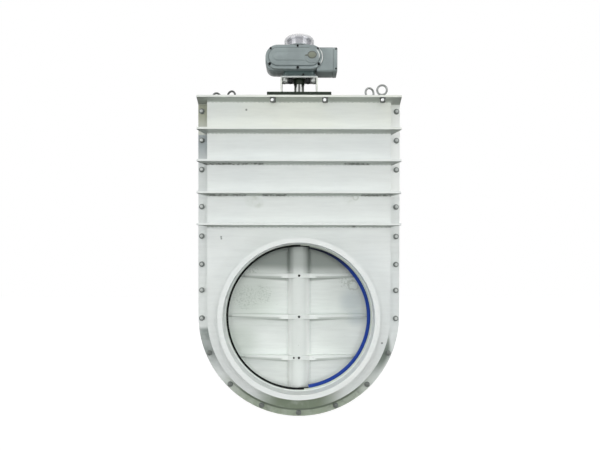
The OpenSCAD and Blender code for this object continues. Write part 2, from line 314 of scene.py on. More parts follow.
def add_node(kind, inputs, output=0, tree=None, **settings):
    """Adds a shader node, whose inputs are wires or values, and gives one output as a wire."""
    tree = tree or next(value.tree for value in inputs.values() if isinstance(value, Wire))
    node = set_up(tree.nodes.new("ShaderNode" + kind), inputs, **settings)
    return Wire(node.outputs[output])


def set_up(node, inputs, **settings):
    """Gives a node its settings and its inputs; a colour of three numbers is opaque."""
    for name, value in settings.items():
        setattr(node, name, value)
    for key, value in inputs.items():
        if isinstance(value, Wire):
            value.feed(node, key)
        else:
            opaque = node.inputs[key].type == "RGBA" and len(value) == 3
            node.inputs[key].default_value = (*value, 1) if opaque else value
    return node


def use_group(tree, name, inputs):
    """Places a node group with its own values, and gives its outputs by name."""
    placed = set_up(tree.nodes.new("ShaderNodeGroup"), inputs,
                    node_tree=bpy.data.node_groups[name])
    return {socket.name: Wire(socket) for socket in placed.outputs}


def mix(factor, first, second, blend="MIX"):
    """A mix of two colours."""
    return add_node("Mix", {0: factor, 6: first, 7: second}, 2, data_type="RGBA",
                    blend_type=blend)


def between(factor, first, second):
    """A mix of two numbers."""
    return add_node("Mix", {0: factor, 2: first, 3: second})


def largest(masks):
    """The largest of several masks."""
    whole = masks[0]
    for one in masks[1:]:
        whole = whole.math("MAXIMUM", one)
    return whole


def distance(first, second):
    """The length of a line with two square legs."""
    return (first.math("POWER", 2.0) + second.math("POWER", 2.0)).math("SQRT")


class Surface:
    """Where the shaded surface is and which way it faces, and the patterns that lie on it."""

    def __init__(self, tree):
        self.tree = tree

    @cached_property
    def coords(self):
        return add_node("TexCoord", {}, "Object", self.tree)

    @cached_property
    def place(self):
        return self.coords.split()

    @cached_property
    def normal(self):
        return add_node("NewGeometry", {}, "Normal", self.tree).split()

    @cached_property
    def off_axis(self):
        """Distance from the port's axis."""
        return distance(self.place.x, self.place.z)

    def noise(self, scale, detail=2.0, roughness=0.5, stretch=None):
        """The value of a noise; stretch scales the pattern along X, Y and Z."""
        coords = self.coords
        if stretch:
            coords = add_node("Mapping", {"Vector": coords, "Scale": stretch})
        return add_node("TexNoise", {
            "Vector": coords, "Scale": scale, "Detail": detail, "Roughness": roughness}, "Fac")

    def spots(self, *places):
        """One mask for round spots, each given as ((x, y, z), radius)."""
        return largest([use_group(self.tree, "Spot", {"Place": place, "Radius": radius})["Mask"]
                        for place, radius in places])

    def below_port(self, wide, narrow):
        """1 under the port, fading to 0 where |X| over the depth grows from narrow to wide."""
        depth = (self.place.z * -1.0).math("MAXIMUM", 0.001)
        return ((abs(self.place.x) / depth).span(narrow, wide, 1.0, 0.0)
                * self.place.z.span(-0.05, -0.1))

    def facing_down(self, amount):
        """Amount where the surface faces down, 0 elsewhere."""
        return self.normal.z.span(-0.25, -0.8, 0.0, amount)

    def facing_out(self):
        """1 where the surface faces the front or the back, 0 on edges and side walls."""
        return abs(self.normal.y).span(0.4, 0.7)


COLOR = "NodeSocketColor"
FLOAT = "NodeSocketFloat"
VECTOR = "NodeSocketVector"


def new_group(name, inputs, outputs):
    """A node group with named sockets: its surface, its inputs as wires, and its output node."""
    group = bpy.data.node_groups.new(name, "ShaderNodeTree")
    for label, kind, default in inputs:
        socket = group.interface.new_socket(label, in_out="INPUT", socket_type=kind)
        socket.default_value = default
    for label, kind in outputs:
        group.interface.new_socket(label, in_out="OUTPUT", socket_type=kind)
    given = {s.name: Wire(s) for s in group.nodes.new("NodeGroupInput").outputs if s.name}
    return Surface(group), given, group.nodes.new("NodeGroupOutput")


def build_paint_group():
    """Hand-laid paint: broad drifts of tone, fine brush marks and soft waves in the film."""
    surface, given, out = new_group("Brushed Paint", [
        ("Color", COLOR, (0.8, 0.8, 0.8, 1)), ("Drift Color", COLOR, (0.7, 0.7, 0.7, 1)),
        ("Drift", FLOAT, 0.5), ("Brush", FLOAT, 0.5),
    ], [("Color", COLOR), ("Roughness", FLOAT), ("Height", FLOAT)])
    drift = surface.noise(3.2, 3.0).span(0.35, 0.68)
    brush = surface.noise(9.0, 4.0, 0.62, (1.0, 1.0, 9.0))
    fine = surface.noise(60.0, 3.0, 0.6, (1.0, 1.0, 4.0))
    wave = surface.noise(5.5)
    toned = mix(drift * given["Drift"], given["Color"], given["Drift Color"])
    streak = between(given["Brush"], 1.0, brush.span(0.3, 0.75, 1.0, 0.93))
    grey = add_node("CombineColor", {"Red": streak, "Green": streak, "Blue": streak})
    mix(1.0, toned, grey, "MULTIPLY").feed(out, "Color")
    brush.span(0.25, 0.8, 0.34, 0.5).feed(out, "Roughness")
    (wave * 3.0 + (brush * 0.35 + fine * 0.06)).feed(out, "Height")


def build_grime_group():
    """Grime laid over a colour where a mask lets it, broken up by a noise; the same group lays
    painted shade for some masks.
    """
    surface, given, out = new_group("Grime", [
        ("Color", COLOR, (0.8, 0.8, 0.8, 1)), ("Grime Color", COLOR, (0.1, 0.1, 0.09, 1)),
        ("Roughness", FLOAT, 0.4), ("Mask", FLOAT, 0.5), ("Amount", FLOAT, 1.0),
        ("Scale", FLOAT, 18.0),
    ], [("Color", COLOR), ("Roughness", FLOAT)])
    broken = surface.noise(given["Scale"], 4.0, 0.6) + (given["Mask"] - 1.0)
    laid = broken.span(0.3, 0.62) * given["Amount"]
    mix(laid, given["Color"], given["Grime Color"]).feed(out, "Color")
    between(laid, given["Roughness"], 0.85).feed(out, "Roughness")


def build_spot_group():
    """A soft round mask about one place."""
    surface, given, out = new_group(
        "Spot", [("Place", VECTOR, (0, 0, 0)), ("Radius", FLOAT, 0.05)], [("Mask", FLOAT)])
    gap = add_node("VectorMath", {0: surface.coords, 1: given["Place"]}, "Value",
                   operation="DISTANCE")
    (gap / given["Radius"]).span(0.2, 1.0, 1.0, 0.0).feed(out, "Mask")


def new_material(name, **constants):
    """A material with its shader's constants on the shader's own sockets, and its surface."""
    material = bpy.data.materials.new(name)
    material.use_nodes = True
    for key, value in constants.items():
        shader_of(material).inputs[key.replace("_", " ")].default_value = value
    return material, Surface(material.node_tree)


def shader_of(material):
    return material.node_tree.nodes["Principled BSDF"]


def dress(material, color, roughness, height=None, depth=0.0, strength=1.0):
    """Feeds a colour, a roughness and a height, through a Bump node, to a material's shader."""
    shader = shader_of(material)
    color.feed(shader, "Base Color")
    roughness.feed(shader, "Roughness")
    if height:
        add_node("Bump", {"Height": height, "Distance": depth, "Strength": strength},
                 "Normal").feed(shader, "Normal")


def lay(color, stains):
    """A colour with (mask, tone) stain marks and painted shade laid over it in turn."""
    for mask, tone in stains:
        color = mix(mask, color, tone)
    return color


def darker(tone, share):
    return [share * c for c in tone[:3]]


# ---- Settings ----

Tone = partial(FloatVectorProperty, subtype="COLOR", size=4, min=0, max=1)
Length = partial(FloatProperty, unit="LENGTH")
Angle = partial(FloatProperty, subtype="ANGLE")
Watts = partial(FloatProperty, min=0, max=2000)


class ValvePaintSettings(bpy.types.PropertyGroup):
    body_color: Tone(
        name="Body Paint", description="White paint of the body",
        default=(0.79, 0.825, 0.805, 1))
    body_drift: Tone(
        name="Body Drift", description="Cooler tone that the white paint drifts to",
        default=(0.745, 0.785, 0.78, 1))
    gate_color: Tone(
        name="Gate Paint", description="Worn paint of the gate", default=(0.84, 0.88, 0.85, 1))
    gate_drift: Tone(
        name="Gate Drift", description="Stained tone of the gate",
        default=(0.78, 0.83, 0.80, 1))
    # Also the tone of painted shade in the corners, along the flange's lower arc and deep in the
    # ports
    grime_and_shade_color: Tone(
        name="Grime", description="Grime in the corners", default=(0.09, 0.10, 0.085, 1))
    cast_color: Tone(
        name="Actuator Enamel", description="Grey enamel of the actuator",
        default=(0.272, 0.322, 0.322, 1))
    hose_color: Tone(
        name="Blue Trim", description="Blue rubber trim of the port",
        default=(0.01, 0.043, 0.27, 1))
    zinc_color: Tone(
        name="Zinc", description="Zinc of the bolts", default=(0.42, 0.44, 0.42, 1))


class ValveFastenerSettings(bpy.types.PropertyGroup):
    bolt_across: Length(
        name="Bolt Across Flats", description="Width of the flange bolts' heads",
        default=0.018, min=0.008, max=0.03)
    bolt_head: Length(
        name="Bolt Head", description="Height of the flange bolts' heads",
        default=0.0075, min=0.003, max=0.015)
    washer_r: Length(
        name="Washer Radius", description="Outer radius of the flange bolts' washers",
        default=0.0115, min=0.006, max=0.02)
    washer_t: Length(
        name="Washer Thickness", description="Thickness of the flange bolts' washers",
        default=0.0022, min=0.001, max=0.005)
    bolt_set: Length(
        name="Bolt Setback", description="Distance from the flange's edge to its bolts",
        default=0.0145, min=0.0125, max=0.036)
    arc_bolts: IntProperty(
        name="Arc Bolts", description="Bolts round the half-round bottom between the sides",
        default=7, min=3, max=15)
    weld: Length(
        name="Weld Bead", description="Leg of the weld beads",
        default=0.006, min=0.002, max=0.012)


class ValveActuatorSettings(bpy.types.PropertyGroup):
    housing_round: Length(
        name="Housing Round", description="Rounding of the gear housing's edges",
        default=0.005, min=0.001, max=0.012)
    cover_border: Length(
        name="Cover Border", description="Width of the border round the cover's raised panel",
        default=0.014, min=0.008, max=0.02)
    panel_border: Length(
        name="Panel Border", description="Distance from the raised panel's edge to the ridge",
        default=0.0145, min=0.008, max=0.024)
    motor_round: Length(
        name="Motor Round", description="Rounding of the motor housing's edges",
        default=0.009, min=0.002, max=0.02)
    cap_more: Length(
        name="Motor Cap Overlap", description="How far the end cap reaches over the housing",
        default=0.007, min=0, max=0.02)
    indicator_bars: IntProperty(
        name="Indicator Bars", description="Grey bars round the indicator drum",
        default=6, min=2, max=12)


class ValveStageSettings(bpy.types.PropertyGroup):
    distance: Length(
        name="Camera Distance", description="Distance from the camera to the rear port face",
        default=2.368, min=1, max=10)
    height: Length(
        name="Camera Height", description="Height of the camera over the port's centre",
        default=0.231, min=-2, max=3)
    lens: FloatProperty(
        name="Lens", description="Focal length in millimetres", default=32.25, min=10, max=200)
    pitch: Angle(
        name="Pitch", description="Upward tilt of the camera", default=math.radians(-0.72))
    roll: Angle(
        name="Roll", description="Roll of the camera", default=math.radians(0.1))
    key_energy: Watts(
        name="Key Energy", description="Power of the front softbox in watts", default=123)
    flank_energy: Watts(
        name="Flank Energy", description="Power of each softbox beside the key in watts",
        default=45)
    top_energy: Watts(
        name="Top Energy", description="Power of the overhead softbox in watts", default=46)
    skirt_energy: Watts(
        name="Skirt Energy", description="Power of the low front softbox in watts",
        default=1.9)
    fill: FloatProperty(
        name="Fill", description="Strength of the even light from all round",
        default=0.16, min=0, max=2)


# ---- Paint ----

# Stretches of the corners under the ribs with grime and painted shade: rib counted from the top,
# start and end along X
GRIMY_SHADED_CORNERS = (
    (2, -0.40, -0.13), (2, 0.17, 0.30), (3, -0.39, -0.20),
    (3, -0.16, -0.04), (3, 0.24, 0.39), (4, 0.20, 0.24),
)
# Painted shade on the flange strips left of the top bays: bay from the top, amount and tone
SHADED_BAY_STRIPS = (
    (1, 1.0, (0.39, 0.41, 0.32)), (2, 0.95, (0.34, 0.38, 0.39)), (3, 0.22, (0.4, 0.44, 0.44)),
)
# Faint marks on the front plate, as (place, radius)
PLATE_LOOP = ((0.229, plate_y, 0.486), 0.017)
PLATE_RUBS = (((0.205, plate_y, 0.478), 0.035), ((-0.19, plate_y, 0.478), 0.04),
              ((-0.165, plate_y, 0.462), 0.03))
PLATE_CHIPS = (((-0.213, plate_y, 0.838), 0.0065), ((-0.315, plate_y, 0.325), 0.0055),
               ((-0.314, plate_y, 0.318), 0.005), ((0.338, plate_y, -0.105), 0.006))
# Marks on the gate
gate_face = low("gate_plate").y
GATE_SMUDGES = (((-0.22, mid_y, 0.075), 0.14), ((-0.15, mid_y, 0.09), 0.11),
                ((0.2, mid_y, 0.15), 0.10), ((-0.2, mid_y, 0.2), 0.09))
LEFT_HAZE = (((-0.20, mid_y, 0.08), 0.17), ((-0.25, mid_y, -0.1), 0.12))
RIGHT_HAZE = (((0.19, gate_face, 0.06), 0.17), ((0.16, gate_face, -0.1), 0.13))
BLUE_HAZE = (((0.222, mid_y, 0.062), 0.075), ((0.24, mid_y, 0.0), 0.06))
GATE_LOOP = (0.224, gate_face, 0.128)

TOP_BAY_TONE = (0.79, 0.82, 0.755)
# Tone of the painted shade on undersides
UNDERSIDE_SHADE = (0.36, 0.40, 0.36)
FILM = 0.0012      # depth of the waves in the paint


def corner_grime_and_shade(surface):
    """Grime and painted shade in the corners between the ribs' undersides and the body plates."""
    x, y, z = surface.place
    masks = []
    for rib, start, end in GRIMY_SHADED_CORNERS:
        height = top_under - rib * rib_pitch
        masks.append(x.window(start, end, 0.02)
                     * z.window(height - 0.008, height + 0.003, 0.003))
    face = mid_y - plate_y
    return largest(masks) * abs(y - mid_y).span(face + 0.012, face + 0.04, 1.0, 0.0)


def plate_stains_and_shadow(surface):
    """The painted shadow crescent under the port, and the faint rub marks in the lowest bay."""
    broken = surface.noise(24.0, 3.0)
    # Painted shadow of the port's ring on the plate under it
    crescent = (surface.off_axis.span(neck_r, neck_r + 0.02) * surface.below_port(0.7, 0.2)
                * broken.span(0.2, 0.5, 0.8, 1.0))
    loop = abs(surface.spots(PLATE_LOOP) - 0.5).span(0.2, 0.45, 0.55, 0.0)
    rubs = surface.spots(*PLATE_RUBS) * broken.span(0.35, 0.6, 0.1, 0.6)
    return [(crescent, (0.205, 0.25, 0.18)),
            (largest([loop, rubs]), (0.52, 0.56, 0.50)),
            (surface.spots(*PLATE_CHIPS) * 0.85, (0.12, 0.13, 0.12))]


def flange_arc_shade(surface):
    """Painted shade along the lower arc of the flange, broken up by the grime's noise."""
    return surface.below_port(1.4, 0.8) * 0.8


def flange_painted_shade(surface):
    """Painted shade: the darker lower arc, the shadow line of the plate's edge on it, the body's
    shadows at its two ends and the strips left of the top bays; and a painted highlight on the
    strips right of them.
    """
    x, y, z = surface.place
    out = surface.off_axis
    face = surface.facing_out()
    broken = surface.noise(30.0, 3.0)
    # Painted shade: the arc darkens towards the bottom
    arc = surface.below_port(1.5, 0.4) * broken.span(0.3, 0.6, 0.85, 1.0)
    # Painted shadow line of the plate's edge on the arc
    line = (out.span(body_r + 0.0185, body_r + 0.0235, 0.85, 0.0)
            * surface.below_port(1.2, 0.6) * face)
    # Painted shadow of the body at the arc's left end
    left = (z.span(-0.04, -0.06) * z.span(-0.255, -0.125) * x.span(-0.25, -0.26)
            * broken.span(0.35, 0.6, 0.75, 1.0) * face)
    # Painted shadow of the body at the arc's right end
    reach = (out - body_r) / z.span(-0.05, -0.17, 0.008, 0.05)
    right = (reach.span(0.5, 1.05, 0.9, 0.0) * z.window(-0.225, -0.09, 0.05)
             * x.span(0.25, 0.26) * out.span(body_r + 0.001, body_r + 0.007) * face)
    stains = [(arc, (0.35, 0.41, 0.315)), (line, (0.13, 0.16, 0.12)),
              (left, (0.30, 0.335, 0.32)), (right, (0.16, 0.20, 0.165))]
    # Painted shade on the left strips, darkest under each top rib
    aside = x.span(-0.34, -0.36) * y.span(mid_y + 0.002, mid_y) * face
    for bay, amount, tone in SHADED_BAY_STRIPS:
        roof = top_under - (bay - 1) * rib_pitch
        shade = (z.window(roof - rib_pitch, roof, 0.003)
                 * z.span(roof - rib_pitch, roof - 0.03, 0.4 * amount, amount))
        stains.append((shade * aside, tone))
    # Painted highlight on the right strips beside the top bays
    lit_strip = x.span(0.34, 0.36) * z.window(top_under - 3 * rib_pitch, top_under, 0.02)
    stains.append((lit_strip * (face * 0.8), (0.93, 0.955, 0.93)))
    return stains


def rib_underside_shade(surface):
    """Painted shade on the undersides."""
    return [(surface.facing_down(0.75), UNDERSIDE_SHADE)]


def neck_stains(surface):
    """A greenish line along the lip of the port."""
    line = surface.off_axis.window(port_r - 0.0105, port_r - 0.004, 0.0015)
    return [(line * 0.7, (0.45, 0.52, 0.42))]


def neck_mask(surface):
    """Darker broken-up patches deeper into the ports."""
    return surface.place.y.span(front_y + 0.03, plate_y + 0.02) * 0.35


def gate_marks_and_shade(surface):
    """Haze, painted shadows under the cross ribs, more haze, a rub mark, a darker front of the
    pipe low down, a painted highlight on the pipe's sides low down, more haze, painted shade on
    the pipe's sides up top, painted shade on undersides, a painted shadow over the gate's top and
    fine specks, in the order they are laid.
    """
    x, y, z = surface.place
    across = abs(x)
    down = z.span(0.2, 0.14)
    # Painted shadows under the cross ribs, growing towards the pipe
    inward = across.span(0.0, 0.3, 0.024, 0.005) * across.span(0.01, 0.05, 0.4, 1.0)
    ahead = y.span(gate_rib_y + 0.003, gate_rib_y + 0.006) * 0.62
    rib_shadows = [(((height - z) / inward).window(0.1, 1.0, 0.16) * ahead, (0.34, 0.38, 0.345))
                 for height in gate_rib_rows()]
    stray = (surface.noise(55.0, 3.0) - 0.5) * 1.6
    loop = (abs(surface.spots((GATE_LOOP, 0.034)) + stray - 0.5).span(0.1, 0.25, 0.5, 0.0)
            * surface.spots((GATE_LOOP, 0.05)) * y.span(mid_y, mid_y - 0.002))
    pipe = (across.span(0.045, 0.043) * y.span(gate_face - 0.004, gate_face - 0.01)
            * (down * 0.75))
    # Painted highlight on the pipe's sides low down
    lit_pipe_sides = (abs(surface.normal.x).span(0.55, 0.95) * across.window(0.02, 0.046, 0.001)
              * (down * 0.85))
    # Painted shade on the pipe's sides, mostly up top
    pipe_side_shade = (largest([x.window(-0.047, -0.022, 0.004) * 0.4, x.window(0.018, 0.043, 0.004) * 0.2])
             * z.span(0.16, 0.2, 0.08, 1.0))
    # Painted shadow of the port's top over the gate's upper part
    top_shadow = ((z + x.span(-0.28, 0.1, 0.012, 0.022)).span(0.185, 0.235)
            * across.span(0.024, 0.044, 0.72, 1.0))
    return [(surface.spots(*LEFT_HAZE) * 0.42, (0.50, 0.58, 0.50)),
            *rib_shadows,
            (surface.spots(*BLUE_HAZE) * 0.6, (0.50, 0.57, 0.60)),
            (loop, (0.30, 0.34, 0.30)),
            (pipe, (0.68, 0.72, 0.69)),
            (lit_pipe_sides, (0.98, 1.0, 0.98)),
            (surface.spots(*RIGHT_HAZE) * 0.22, (0.50, 0.55, 0.51)),
            (pipe_side_shade, (0.30, 0.34, 0.31)),
            # Painted shade on undersides
            (surface.facing_down(0.7), UNDERSIDE_SHADE),
            (top_shadow, (0.30, 0.335, 0.31)),
            (surface.noise(140.0, 2.0, 0.7).span(0.72, 0.8, 0.0, 0.8), (0.16, 0.18, 0.15))]


def rim_highlight(surface):
    """Painted highlights along the rounded rims at the right end of the cover."""
    right, middle, radius = housing_ends()[1:]
    aside = surface.place.x - right
    above = surface.place.z - middle
    reach = distance(aside, above)
    outer = (reach.window(radius - 0.0045, radius + 0.004, 0.0006)
             * above.window(-0.024, 0.03, 0.01))
    inner = (reach.window(radius - 0.0175, radius - 0.0145, 0.0006)
             * above.window(-0.005, 0.026, 0.008))
    # Painted highlight on both rims
    worn = largest([outer, inner]) * aside.span(0.015, 0.03)
    return [(worn * 0.9, (0.78, 0.80, 0.78))]


def painted(material, coats, stains=(), grime=None, marks=()):
    """Lays brushed paint, stain marks and painted shade, grime and painted shade, and marks with
    painted shade and highlights on a material, in that order.
    """
    tree = material.node_tree
    coat = use_group(tree, "Brushed Paint", coats)
    color, rough = lay(coat["Color"], stains), coat["Roughness"]
    # The grime's masks also lay painted shade
    if grime:
        dirty = use_group(tree, "Grime", {"Color": color, "Roughness": rough, **grime})
        color, rough = dirty["Color"], dirty["Roughness"]
    dress(material, lay(color, marks), rough, coat["Height"], FILM)


def steel_paint(name, drift, stains_and_painted_light_of=None, grime_and_shade_mask_of=None, amount=0.0, scale=1.0):
    """White brushed paint with stain marks and painted shade, and grime with painted shade where
    its mask lets it.
    """
    paint = bpy.context.scene.valve_paint
    material, surface = new_material(name, Specular_IOR_Level=0.4)
    warm = surface.place.z.window(top_under - rib_pitch, 2, 0.03)
    painted(material, {"Color": mix(warm, paint.body_color[:], TOP_BAY_TONE),
                       "Drift Color": paint.body_drift[:], "Drift": drift, "Brush": 0.7},
            stains_and_painted_light_of(surface) if stains_and_painted_light_of else (),
            grime_and_shade_mask_of and {"Grime Color": paint.grime_and_shade_color[:], "Mask": grime_and_shade_mask_of(surface),
                         "Amount": amount, "Scale": scale})


def gate_paint(name):
    """Dusty worn paint with scuffs, drips and greenish stain marks, and painted shade, shadows
    and highlights.
    """
    paint = bpy.context.scene.valve_paint
    material, surface = new_material(name, Specular_IOR_Level=0.4)
    smudges = surface.spots(*GATE_SMUDGES) * 0.9
    painted(material, {"Color": paint.gate_color[:], "Drift Color": paint.gate_drift[:],
                       "Drift": 0.8, "Brush": 1.0},
            grime={"Grime Color": (0.27, 0.33, 0.28), "Mask": smudges, "Amount": 0.5,
                   "Scale": 150.0},
            marks=gate_marks_and_shade(surface))


# ---- Enamel, rubber, metal and plastic ----

def cast_enamel(name, tone=None, stains_and_painted_light_of=None):
    """Enamel over a sand casting, with an even grain and darker drifts; grey if no tone."""
    material, surface = new_material(name, Coat_Weight=0.6, Coat_Roughness=0.18)
    tone = tone or bpy.context.scene.valve_paint.cast_color[:3]
    drift = surface.noise(14.0, 3.0).span(0.35, 0.7)
    color = lay(mix(drift, tone, darker(tone, 0.85)), stains_and_painted_light_of(surface) if stains_and_painted_light_of else ())
    grain = surface.noise(420.0, 2.0, 0.6)
    dress(material, color, grain.span(0.3, 0.7, 0.36, 0.5), grain, 0.0003, 0.6)


def rubber(name, roughness, dust, color=None, top=None):
    """Rubber with a dusty bloom and fine draw marks; blue if no colour is given.

    top is its darker tone at the top of the port, painted shade.
    """
    material, surface = new_material(name, Specular_IOR_Level=0.3)
    color = color or bpy.context.scene.valve_paint.hose_color[:3]
    pale = [0.6 * c + 0.07 for c in color]
    if top:
        color = mix(surface.place.z.span(0.15, 0.275), color, top)
    bloom = surface.noise(35.0, 4.0, 0.6).span(0.45, 0.8, 0.0, dust)
    marks = surface.noise(260.0)
    dress(material, mix(bloom, color, pale),
          marks.span(0.3, 0.7, roughness - 0.06, roughness + 0.08), marks, 0.0003, 0.5)


def black_enamel(name):
    """Black-green paint, dusty where it faces up."""
    material, surface = new_material(name, Specular_IOR_Level=0.35)
    dust = (surface.normal.z.span(0.5, 0.9, 0.15, 0.8)
            * surface.noise(22.0, 4.0, 0.6).span(0.3, 0.7, 0.3, 1.0))
    dress(material, mix(dust, (0.006, 0.012, 0.007), (0.12, 0.15, 0.11)),
          dust.span(0.0, 0.8, 0.42, 0.75), surface.noise(120.0, 3.0), 0.0004, 0.5)


def plated_steel(name, roughness, color=None, tarnish=0.5, metallic=0.85, low_shade=0.0):
    """Steel with dull blotches and painted shade round the bottom arc; zinc if no colour is
    given.
    """
    material, surface = new_material(name, Metallic=metallic)
    color = color or bpy.context.scene.valve_paint.zinc_color[:3]
    blotch = surface.noise(70.0, 3.0, 0.6).span(0.4, 0.7, 0.0, tarnish)
    tone = mix(blotch, color, darker(color, 0.45))
    if low_shade:
        tone = mix(surface.place.z.span(-0.13, -0.15, 0.0, low_shade), tone, (0.12, 0.135, 0.12))
    dress(material, tone, blotch.span(0.0, tarnish, roughness, roughness + 0.2),
          surface.noise(300.0), 0.0002, 0.5)


def stem_steel(name):
    """Polished stem with a grease film and fine turning marks round it."""
    material, surface = new_material(name, Metallic=1.0)
    lines = surface.noise(40.0, stretch=(1.0, 1.0, 30.0))
    film = surface.noise(30.0, 3.0).span(0.5, 0.75, 0.0, 0.35)
    dress(material, mix(film, (0.46, 0.47, 0.46), (0.26, 0.27, 0.25)),
          lines.span(0.3, 0.7, 0.1, 0.2), lines, 0.0001, 0.6)


def bronze(name):
    """Machined bronze with turning marks."""
    material, surface = new_material(name, Metallic=1.0)
    lines = surface.noise(60.0, stretch=(1.0, 1.0, 12.0))
    dress(material, mix(lines, (0.5, 0.34, 0.14), (0.38, 0.25, 0.1)),
          lines.span(0.3, 0.7, 0.25, 0.4))


def clear_plastic(name):
    """Clear moulded dome: see-through ahead, greyer where the wall is seen edge on, a painted
    reflection.
    """
    material, surface = new_material(name, Metallic=0.0, IOR=1.45)
    edge = add_node("LayerWeight", {"Blend": 0.4}, "Facing", surface.tree)
    dress(material, mix(edge, (0.86, 0.88, 0.90), (0.50, 0.52, 0.54)),
          surface.noise(60.0, 3.0).span(0.3, 0.7, 0.04, 0.12))
    edge.span(0.25, 0.95, 0.12, 0.62).feed(shader_of(material), "Alpha")


def drum_plastic(name):
    """White indicator drum with grey bars up its side and over its shoulder."""
    bars = bpy.context.scene.valve_actuator.indicator_bars
    material, surface = new_material(name, Specular_IOR_Level=0.4)
    round_stem = add_node("Mapping", {"Vector": surface.coords,
                                      "Location": (0, -mid_y, 0)}).split()
    turn = round_stem.x.math("ARCTAN2", round_stem.y * -1) * (bars / TURN)
    bar = abs(turn - turn.math("ROUND")).span(0.31, 0.33, 1.0, 0.0)
    wear = surface.noise(80.0, 3.0)
    worn = wear.span(0.3, 0.8)
    dress(material, mix(bar, mix(worn, (0.90, 0.90, 0.94), (0.8, 0.8, 0.85)),
                        mix(worn, (0.42, 0.42, 0.46), (0.36, 0.36, 0.39))),
          wear.span(0.3, 0.7, 0.4, 0.55))


# Enamels by tone, and steels by roughness, tone, tarnish, metal and painted shade low down
ENAMELS = {
    # The foot's darker enamel is painted shade under the housing
    "cast_dark": (0.062, 0.095, 0.093),
    "bracket_enamel": (0.58, 0.61, 0.59),
    "seam_enamel": (0.13, 0.165, 0.165),
    "plate_enamel": (0.215, 0.235, 0.18),
    "badge_rim": (0.12, 0.135, 0.115),
}
STEELS = {
    "dark_steel": (0.42, (0.16, 0.17, 0.165), 0.4),
    "bolt_steel": (0.45, (0.26, 0.285, 0.27), 0.4, 0.35),
    # Lighter steel of the right lifting eyes, painted light
    "eye_steel": (0.35, (0.40, 0.42, 0.41), 0.5, 0.6),
    # Brighter faces of the bolt heads, a painted highlight
    "bolt_face": (0.4, (0.62, 0.65, 0.63), 0.3, 0.25, 0.8),
    # Bright discs on the nuts under the top plate, a painted highlight
    "bright_cap": (0.25, (0.93, 0.95, 0.94), 0.15, 0.1),
    "black_screw": (0.4, (0.02, 0.022, 0.022), 0.3),
}
# How each finish is made from its material's name
FINISHES = {
    "plate_paint": lambda name: steel_paint(name, 0.6, plate_stains_and_shadow, corner_grime_and_shade, 0.8, 75.0),
    "rib_paint": lambda name: steel_paint(name, 0.4, rib_underside_shade, corner_grime_and_shade, 0.8, 90.0),
    "flange_paint": lambda name: steel_paint(name, 0.6, flange_painted_shade, flange_arc_shade, 0.45,
                                             40.0),
    "neck_paint": lambda name: steel_paint(name, 0.5, neck_stains, neck_mask, 0.5, 18.0),
    "plain_paint": lambda name: steel_paint(name, 0.4),
    "gate_paint": gate_paint,
    "cast_enamel": cast_enamel,
    # The cover's enamel with painted highlights on its right end
    "cover_enamel": lambda name: cast_enamel(name, stains_and_painted_light_of=rim_highlight),
    "black_rubber": lambda name: rubber(name, 0.7, 0.04, (0.003, 0.004, 0.004)),
    # Navy at the top of the port is painted shade
    "blue_rubber": lambda name: rubber(name, 0.5, 0.15, top=(0.004, 0.006, 0.02)),
    "black_enamel": black_enamel,
    "zinc": lambda name: plated_steel(name, 0.38),
    "stem_steel": stem_steel,
    "bronze": bronze,
    "clear_plastic": clear_plastic,
    "drum_plastic": drum_plastic,
}

NODE_FINISHES = {
    "plate_paint": ("front_plate", "rear_plate"),
    "rib_paint": ("front_ribs", "rear_ribs", "top_plate"),
    "flange_paint": ("front_flange", "rear_flange", "front_side_wall", "rear_side_wall"),
    "neck_paint": ("front_neck", "rear_neck"),
    "plain_paint": ("front_ring", "rear_ring", "bracket_left", "bracket_right"),
    "bracket_enamel": ("bracket_top",),
    "gate_paint": ("gate_plate", "gate_edge_bar", "gate_pipe", "gate_cross_ribs"),
    "black_rubber": ("front_seal", "rear_seal", "flange_gasket", "base_seal"),
    "black_enamel": ("base_plate", "gland_ring", "drive_coupling"),
    "dark_steel": ("guide_rail_left", "guide_rail_right", "lifting_eye_1", "lifting_eye_2"),
    # The right lifting eyes get a lighter steel, painted light
    "eye_steel": ("lifting_eye_3", "lifting_eye_4"),
    "stem_steel": ("stem",),
    "bronze": ("stem_nut",),
    "cast_enamel": ("actuator_foot", "gear_housing", "front_cover", "motor_housing",
                    "motor_cap"),
    "clear_plastic": ("dome",),
    "drum_plastic": ("indicator_drum",),
}


def finish(kind):
    """The material of one finish, made when it is first asked for."""
    name = kind + "_finish"
    if name not in bpy.data.materials:
        if kind in ENAMELS:
            cast_enamel(name, ENAMELS[kind])
        elif kind in STEELS:
            plated_steel(name, *STEELS[kind])
        else:
            FINISHES[kind](name)
    return bpy.data.materials[name]


class VALVE_OT_finish_steelwork(bpy.types.Operator):
    """Give every carried-over solid of the valve its finish"""
    bl_idname = "valve.finish_steelwork"
    bl_label = "Finish Steelwork"

    def execute(self, context):
        build_paint_group()
        build_grime_group()
        build_spot_group()
        for kind, members in NODE_FINISHES.items():
            for member in members:
                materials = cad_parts[member].data.materials
                if not materials:
                    materials.append(None)
                for place in range(len(materials)):
                    materials[place] = finish(kind)
        return {"FINISHED"}


# ---- Fasteners and welds ----

# Heights of the flange bolts beside the body
SIDE_BOLTS = (-0.0095, 0.107, 0.214, 0.330, 0.452, 0.605, 0.7255, 0.845)
HEAD_TURN = 2.4            # how far each head is turned past the one before
NUT_TURN = 1.7
FLANGE_TAIL = 0.008        # how far the flange bolts stand out of their nuts
# Radius, height and socket radius of socket screws
BASE_SCREW = (0.009, 0.0025, 0.004)
FOOT_SCREW = (0.0045, 0.003, 0.0024)
CAP_SCREW = (0.004, 0.0015, 0.0022)
CAP_FRONT_SCREW = (0.0038, 0.0012, 0.002)
# Width across flats, height, washer radius and washer thickness
TOP_NUT = (0.02, 0.016, 0.0125, 0.002)
